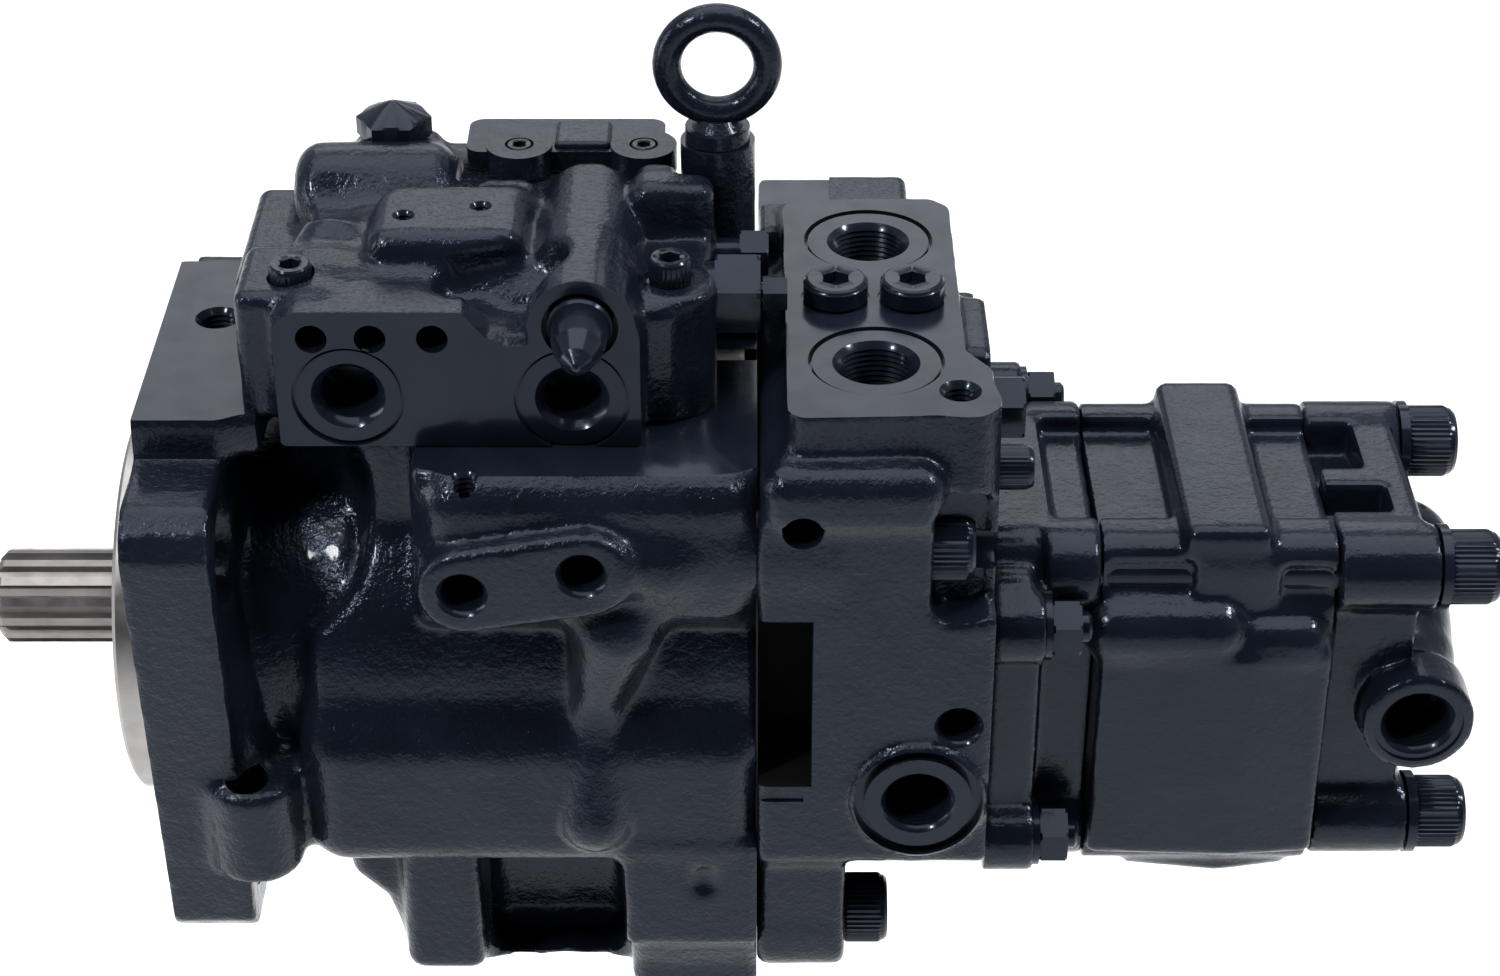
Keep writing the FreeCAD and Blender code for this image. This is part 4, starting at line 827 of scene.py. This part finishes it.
def control_valve():
    """Valve block on the deck: ported front face, humps and screw bosses on top."""
    cast = Cast((25, -60, 90), (179, 63, 158), 1.15)
    cast.add(plate("Y", (-57.5, -20), VALVE_FACE, 1.5, 0.5), 0)
    cast.add(slab("Z", (92, 128), (45.7, 154.5), (-50, 60), 5, 2), 2)
    cast.add(block((33, 62), (-46, -12), (96, 139), 4), 5)
    cast.add(block((50, 153), (-34, 60), (112, 139.2), 5), 5)
    cast.add(block((71, 119), (-29, 10), (126, 149.5), 7), 4)
    cast.add(block((100, 122), (2, 22), (122, 146), 7), 5)
    cast.add(block((60, 88), (34, 59), (120, 144.5), 5), 4)
    cast.add(drum("X", (32, 132), 17.5, (43, 94), 9), 6)
    cast.add(bone((54, -6, 132), (58, -2, 136), 8), 5)
    cast.add(drum("Y", (137, 134), 15.5, (-57.5, 22), 1.0), 3)
    cast.add(block((28, 52), (-14, 50), (106, 127), 4), 3)
    cast.add(drum("Z", (164.5, -28), 12.5, (92, 134.5), 2.5), 3)
    cast.add(block((150, 176), (-26, 18), (92, 132), 5), 4)
    cast.add(block((151, 176), (3.5, 17.8), (110, 149), 5), 4)
    cast.add(block((151, 165), (3.5, 25), (110, 149), 5), 4)
    cast.add(block((148, 166), (-44, -20), (93, 133), 4), 4)
    cast.carve(bone((100, -36, 137), (124, -34, 143), 7, 9), 5)
    cast.carve(bone((58, 8, 150), (66, 10, 152), 12, 10), 5)
    cast.roughen(0.08, 5, 5)
    obj = cast.mesh("control_valve_casting", [CAST])
    cutters = [
        box_cutter((20, 190), (-90, VALVE_FRONT), (80, 170), SMOOTH),
        box_cutter((20, 190), (-90, 90), (80, VALVE_BASE), SMOOTH),
        spot("Y", (67, 110), VALVE_FRONT, -55.0, 16.8),
        ring_cut("Y", (67, 110), -57, -54.2, 15.7, 16.9),
        hole("Y", (67, 110), -55, -38, 9.0, True, 2.2),
        spot("Y", (134, 109), VALVE_FRONT, -55.0, 17.3),
        ring_cut("Y", (134, 109), -57, -54.2, 16.2, 17.4),
        hole("Y", (134, 109), -55, -38, 9.0, True, 2.2),
        bore("Y", (137, 134), [(-70, 11.4), (-47.2, 11.4), (-47.2, 10), (-46, 10), (-46, 6.03), (40, 6.03)]),
        bore("X", (-12, 121), [(68, 7.03), (150, 7.03), (150, 10.5), (190, 10.5)]),
        bore("X", (9, 124), [(157, 5.05), (190, 5.05)]),
        bore("Z", (73, 50), [(126, 6.05), (144.9, 6.05), (144.9, 12.8), (170, 12.8)]),
        bore("Z", (49.5, -34), [(90, 4.6), (135.5, 4.6), (135.5, 7.3), (150, 7.3)]),
        bore("Z", (163, -27), [(90, 4.6), (134, 4.6), (134, 7.6), (150, 7.6)]),
        bore("Z", (51, 46), [(90, 4.6), (130, 4.6), (130, 7.2), (170, 7.2)]),
        bore("Z", (150, 46), [(90, 4.6), (130, 4.6), (130, 7.2), (170, 7.2)]),
        hole("Z", (82, -14), 149.5, 138, 3.0, True, 0.5),
        hole("Z", (105, -8), 149.5, 138, 3.0, True, 0.5),
        box_cutter((94, 160), (26, 62), (140.4, 160), SMOOTH),
    ]
    for x in (57.4, 74.8, 93.2):
        cutters.append(hole("Y", (x, 130), VALVE_FRONT, -42, 4.7, False))
    for x in (114, 153.5):
        cutters.append(bore("Z", (x, 36), [(130, 2.6), (146, 2.6)]))
    machine(obj, cutters)
    return dress(obj, "housing", ["control_valve_body"])


def adaptor():
    """Plate between the end cover and the gear pump."""
    cast = Cast((262, -71, -80), (298, 71, 57), 1.4)
    cast.add(slab("X", (262.8, 297), (-46, 46), (-78, 50.5), 12, 1.3), 0)
    cast.add(slab("X", (262.8, 279), (-58, 58), (-60, 38), 12, 2), 4)
    cast.add(drum("X", (0, -17), 50, (262.8, 276), 2), 4)
    for y, z in STUDS:
        cast.add(drum("X", (y, z), 12, (262.8, 279.2), 1.5), 2)
    cast.add(drum("X", (-50, 34), 9, (262.8, 276), 2), 4)
    for y, z in PUMP:
        cast.add(drum("X", (y, z), 13.4, (280, 297), 1.3), 3)
    cast.carve(block((283, 310), (-29, 31), (44.5, 70), 2.5), 2)
    cast.carve(block((282, 294), (-75, -49), (-44, 16), 3), 3)
    cast.carve(block((282, 294), (49, 75), (-44, 16), 3), 3)
    cast.roughen(0.05, 5, 9)
    obj = cast.mesh("gear_pump_adaptor_casting", [SATIN])
    cutters = [
        bore("X", (0, 0), [(250, 22), (310, 22)], 96),
    ]
    for y, z in STUDS:
        cutters.append(bore("X", (y, z), [(250, 5.4), (279.0, 5.4), (279.0, 11.5), (283, 11.5)]))
    for y, z in PUMP:
        cutters.append(bore("X", (y, z), [(279.5, 8.04), (310, 8.04)]))
    machine(obj, cutters)
    return dress(obj, "housing", ["gear_pump_adaptor"])


def pump_body():
    """Middle section of the gear pump."""
    cast = Cast((297, -60, -86), (373, 60, 57), 1.4)
    cast.add(slab("X", (297.6, 372), (-48, 48), (-78, 50.5), 11, 1.3), 0)
    cast.add(plate("Z", (-66, 16), PUMP_SIDES, 3, 4), 4)
    cast.add(block((323, 351), (-47, 47), (-60, 56), 4), 3)
    cast.add(bone((303, -46.5, 20), (334, -46.5, 20), 11.5), 3)
    cast.add(bone((350, -47, 16), (362, -47, 16), 9.5), 3)
    cast.add(bone((303, 46.5, 20), (334, 46.5, 20), 11.5), 3)
    cast.add(plate("Y", (-42, 42), [(306, -70), (313, -82), (344, -85.5), (366, -82), (372, -70)], 2, 5), 4)
    cast.carve(block((280, 321.5), (-29, 31), (44.5, 70), 2.5), 2)
    cast.carve(block((352, 390), (-29, 30), (45.2, 70), 2.5), 2)
    cast.carve(block((299, 327), (-70, -45), (33, 45), 3), 3)
    cast.carve(block((354, 371), (-70, -45), (29, 43), 3), 3)
    cast.roughen(0.05, 5, 11)
    obj = cast.mesh("gear_pump_body_casting", [SATIN])
    cutters = [
        hole("Y", (335, -17), 57, 37, 11.2),
        hole("Y", (335, -17), 40, 10, 8.0, False),
    ]
    for z in (0, -34):
        cutters.append(bore("X", (0, z), [(290, 19.9), (380, 19.9)], 96))
    for y, z in PUMP:
        cutters.append(bore("X", (y, z), [(290, 8.3), (380, 8.3)]))
    machine(obj, cutters)
    return dress(obj, "housing", ["gear_pump_body"])


def rear_cover():
    """Rear section of the gear pump with its side port."""
    cast = Cast((372, -55, -80), (423, 55, 53), 1.3)
    cast.add(slab("X", (372.6, 400), (-42, 42), (-77, 49.5), 12, 1.3), 0)
    cast.add(slab("X", (372.6, 404), (-28, 28), (-70, 42), 8, 3), 3)
    for y, z in PUMP:
        cast.add(drum("X", (y, z), 13.5, (372.6, 404), 1.5), 4)
    cast.add(bone((402, 2, 17), (405, -2, -14), 17, 15.5), 4)
    cast.add(bone((404, -4, -14), (404, -16, -14), 16.5, 16), 5)
    cast.add(drum("Y", (402, -14), 18, (-53.5, -36), 1.5), 1)
    cast.add(drum("Y", (402, -14), 14.5, (-44, -6), 1.5), 5)
    cast.carve(block((360, 387), (2, 29), (37, 70), 2.5), 2)
    cast.carve(block((360, 392), (-24, -9), (37, 70), 2.5), 2)
    cast.roughen(0.05, 5, 13)
    obj = cast.mesh("gear_pump_rear_cover_casting", [SATIN])
    cutters = [
        spot("Y", (402, -14), -53.5, -52.6, 14.4),
        hole("Y", (402, -14), -52.6, -34, 10.8, True, 1.4),
        hole("Y", (402, -14), -36, -14, 8.0, False),
        bore("X", (0, 0), [(365, 9.4), (383, 9.4)]),
        bore("X", (0, -34), [(365, 9.4), (383, 9.4)]),
    ]
    for y, z in PUMP:
        cutters.append(bore("X", (y, z), [(360, 8.3), (404, 8.3), (404, 14.5), (430, 14.5)]))
    machine(obj, cutters)
    return dress(obj, "housing", ["gear_pump_rear_cover"])


# ---------------------------------------------------------------- fasteners
# Radius of the turned rim of a hexagon, as a share of its width across flats
RIM = 0.53


def six(across, turn=0.0, limit=None):
    """The radius of a hexagon at any angle, from its width across flats; limit cuts the corners back."""
    sixth = math.pi / 6

    def radius(angle):
        full = across / 2 / math.cos((angle + turn + sixth) % (2 * sixth) - sixth)
        return min(full, across * limit) if limit else full
    return radius


def knurl(radius, ridges, depth):
    """A ribbed round: its radius at any angle."""
    def wave(angle):
        return radius - depth * (0.5 - 0.5 * math.cos(angle * ridges))
    return wave


def joined(name, shapes):
    """Several meshes made into one piece."""
    whole = bmesh.new()
    for shape in shapes:
        whole.from_mesh(shape.data)
    made = bpy.data.meshes.new(name)
    for material in shapes[0].data.materials:
        made.materials.append(material)
    whole.to_mesh(made)
    whole.free()
    for shape in shapes:
        bpy.data.objects.remove(shape)
    obj = bpy.data.objects.new(name, made)
    bpy.context.scene.collection.objects.link(obj)
    return obj


def cap_screws(node, spots, axis, head, length, shank, depth, socket, ribs):
    """Socket head screws on the seats of their CAD node; the heads are ribbed if ribs is not 0."""
    made = []
    for spot_at in spots:
        i = "XYZ".index(axis)
        seat = spot_at[i]
        centre = [spot_at[k] for k in range(3) if k != i]
        ridge = knurl(head, ribs, 0.035 * head) if ribs else head
        inner = six(socket)
        rim = [(0.0, head * 0.955), (0.06, ridge), (0.80, ridge), (0.86, head * 0.955), (0.93, head * 0.93),
               (1.0, head * 0.85), (1.0, socket * 0.63), (0.96, inner), (0.45, inner)]
        outline = [(seat - depth, shank), (seat, shank)]
        outline += [(seat + length * share, radius) for share, radius in rim]
        made.append(lathe("screw", axis, centre, outline, STEEL_PAINT, ribs * 4 if ribs else 72))
    obj = joined(node + "_heads", made)
    return dress(obj, "housing", [node], 24)


def screws():
    """Every socket screw and socket plug: head radius and length, shank radius, depth, socket, ribs."""
    spots = [(241.3, y, z) for y, z in SCREWS if z > 0] + [(218.3, y, z) for y, z in SCREWS if z < 0]
    valve_spots = [(49.5, -34, 135.8), (163, -27, 134.3), (51, 46, 130.3), (150, 46, 130.3)]
    cap_screws("end_cover_screws", spots, "X", 11.5, 14, 6.4, 62, 12, 42)
    cap_screws("control_valve_screws", valve_spots, "Z", 6.5, 8, 3.5, 40, 6, 30)
    cap_screws("cover_plate_screws", [(114, 36, 144.9), (153.5, 36, 144.9)], "Z", 4.2, 4, 2.5, 9, 4, 24)
    cap_screws("cover_port_plugs", [(214, 0, 113.3), (238, 0, 113.3)], "Z", 10.2, 7, 6.9, 12, 8, 0)
    cap_screws("gear_pump_screws", [(407.6, y, z) for y, z in PUMP], "X", 12, 16, 8, 125, 14, 44)
    cap_screws("cover_rear_plug", [(262.3, -44, 78)], "X", 7, 12, 4.9, 14, 6, 32)


def hex_bolt(node, centre, tip, shank, seat, height, across):
    """A hexagon head with turned corners on a round shank, along X."""
    flat, low = six(across), six(across, 0.0, RIM)
    top = seat + height
    outline = [(tip, shank), (seat, shank), (seat, low), (seat + across * 0.035, flat),
               (top - across * 0.045, flat), (top, low), (top, across * 0.15)]
    obj = lathe(node + "_shown", "X", centre, outline, STEEL_PAINT, 48)
    return dress(obj, "housing", [node], 24)


def hexes():
    """Nuts, plugs and hexagon heads."""
    flat, low = six(17), six(17, 0.0, RIM)
    outline = [(281.5, 5.05), (281.5, low), (282.1, flat), (289.8, flat), (290.5, low), (290.5, 5.7),
               (289.9, 5.05)]
    nuts = [tube("X", place, outline, STEEL_PAINT, 48) for place in STUDS]
    dress(joined("adaptor_nuts_shown", nuts), "housing", ["adaptor_nuts"], 24)
    flat, low = six(21, math.pi / 6), six(21, math.pi / 6, RIM)
    outline = [(127.5, 6), (145.2, 6), (145.2, low), (145.9, flat), (151.8, flat), (152.6, 10.2),
               (156.9, 1.6), (157.3, 0.7)]
    cap = lathe("hex_cap_shown", "Z", (73, 50), outline, STEEL_PAINT, 48)
    dress(cap, "housing", ["hex_cap"], 24)
    hex_bolt("side_plug", (9, 124), 158, 5, 184, 9, 14)
    hex_bolt("adjuster_body", (-12, 121), 152.4, 10.3, 176.4, 14, 24)
    hex_bolt("cover_rear_bolt", (-15, 82), 246.3, 5, 262.3, 11, 19)


def finish_nodes():
    """Materials and small edge breaks on the CAD nodes that keep their own shape."""
    plain = {"painted_casting": CAST, "painted_steel": STEEL_PAINT, "bare_steel": STEEL,
             "bearing_bronze": BRONZE, "gasket": GASKET, "seal_rubber": RUBBER}
    slots = {row["node"]: row["material_slot"] for row in frame["record"]["subparts"]}
    edges = {"adaptor_washers": 0.3, "gear_pump_washers": 0.3, "adjuster_screw": 0.5, "adjuster_cap": 0.3,
             "eyebolt": 0.5, "valve_cover_plate": 0.5, "adaptor_studs": 0.3, "drive_shaft": 0.25}
    for name, node in NODES.items():
        if node.hide_render:
            continue
        material = SHAFT if name == "drive_shaft" else plain[slots[name]]
        if name in ("valve_cover_plate", "eyebolt"):
            material = FORGED
        node.data.materials.clear()
        node.data.materials.append(material)
        width = edges.get(name)
        if width:
            soft = node.modifiers.new("edge", "BEVEL")
            soft.width = width * MM
            soft.segments = 2
            soft.limit_method = "ANGLE"
            soft.angle_limit = math.radians(32)
            soft.use_clamp_overlap = True
            soft.harden_normals = True


# ---------------------------------------------------------------- stage, light and camera
def light(name, place, aim, size, power):
    """A soft square lamp that looks at a point; lengths in metres, power in watts."""
    lamp = bpy.data.lights.new(name, "AREA")
    lamp.shape = "RECTANGLE"
    lamp.size, lamp.size_y = size
    lamp.energy = power
    obj = bpy.data.objects.new(name, lamp)
    obj.location = place
    obj.rotation_euler = (Vector(aim) - Vector(place)).to_track_quat("-Z", "Y").to_euler()
    bpy.context.scene.collection.objects.link(obj)
    obj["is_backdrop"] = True


def studio():
    """A pale floor well below the pump, a sky that is dark only in front, and five lamps."""
    world = bpy.data.worlds.new("studio")
    world.use_nodes = True
    tree = world.node_tree
    sky = tree.nodes["Background"]
    sky.inputs["Strength"].default_value = 1.0
    place = tree.nodes.new("ShaderNodeTexCoord")
    split = tree.nodes.new("ShaderNodeSeparateXYZ")
    tree.links.new(place.outputs["Generated"], split.inputs["Vector"])
    front = tree.nodes.new("ShaderNodeMath")
    front.operation = "MULTIPLY"
    front.inputs[1].default_value = -1.0
    link(tree, split, "Y", front, 0)
    pale, middle, dark = (0.4, 0.42, 0.47), (0.26, 0.28, 0.32), (0.035, 0.04, 0.05)
    wall = ramp(tree, front, 0, [(0.0, pale), (0.3, middle), (0.55, dark)])
    link(tree, wall, "Color", sky, "Color")
    bpy.context.scene.world = world
    low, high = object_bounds()
    half = 6.0
    z = low.z - 0.30
    floor = bpy.data.meshes.new("floor")
    corners = [(-half, -half, z), (half, -half, z), (half, half, z), (-half, half, z)]
    floor.from_pydata(corners, [], [(0, 1, 2, 3)])
    material, tree, main = shader("backdrop")
    main.inputs["Base Color"].default_value = (0.9, 0.9, 0.9, 1)
    main.inputs["Roughness"].default_value = 0.9
    main.inputs["Emission Color"].default_value = (1.0, 1.0, 1.0, 1)
    main.inputs["Emission Strength"].default_value = 0.3
    floor.materials.append(material)
    ground = bpy.data.objects.new("floor", floor)
    bpy.context.scene.collection.objects.link(ground)
    ground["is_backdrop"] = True
    light("top_soft", (0.15, 0.2, 2.2), (0.17, 0.0, 0.0), (2.8, 2.4), 52)
    light("back_soft", (0.17, 2.0, 1.25), (0.17, 0.0, 0.05), (1.8, 0.7), 7)
    light("left_key", (-0.75, -0.75, 1.25), (0.17, 0.0, 0.0), (0.16, 0.16), 12)
    light("right_key", (1.25, -0.1, 1.05), (0.17, 0.0, 0.0), (0.16, 0.18), 10)
    light("left_strip", (-1.3, -0.2, 0.35), (0.1, 0.0, 0.0), (0.2, 0.9), 4)


def camera():
    """The camera, above the front side and looking down at the pump."""
    lens = bpy.data.cameras.new("camera")
    lens.lens = 74.4
    lens.sensor_width = 36.0
    lens.clip_start, lens.clip_end = 0.01, 30
    obj = bpy.data.objects.new("camera", lens)
    obj.location = (0.1872, -0.8520, 0.5851)
    obj.rotation_euler = (math.radians(57.5), 0, 0)
    bpy.context.scene.collection.objects.link(obj)
    bpy.context.scene.camera = obj


main_case()
end_cover()
control_valve()
adaptor()
pump_body()
rear_cover()
screws()
hexes()
finish_nodes()
studio()
camera()
bpy.context.scene.view_settings.view_transform = "Standard"
save_size("visual")
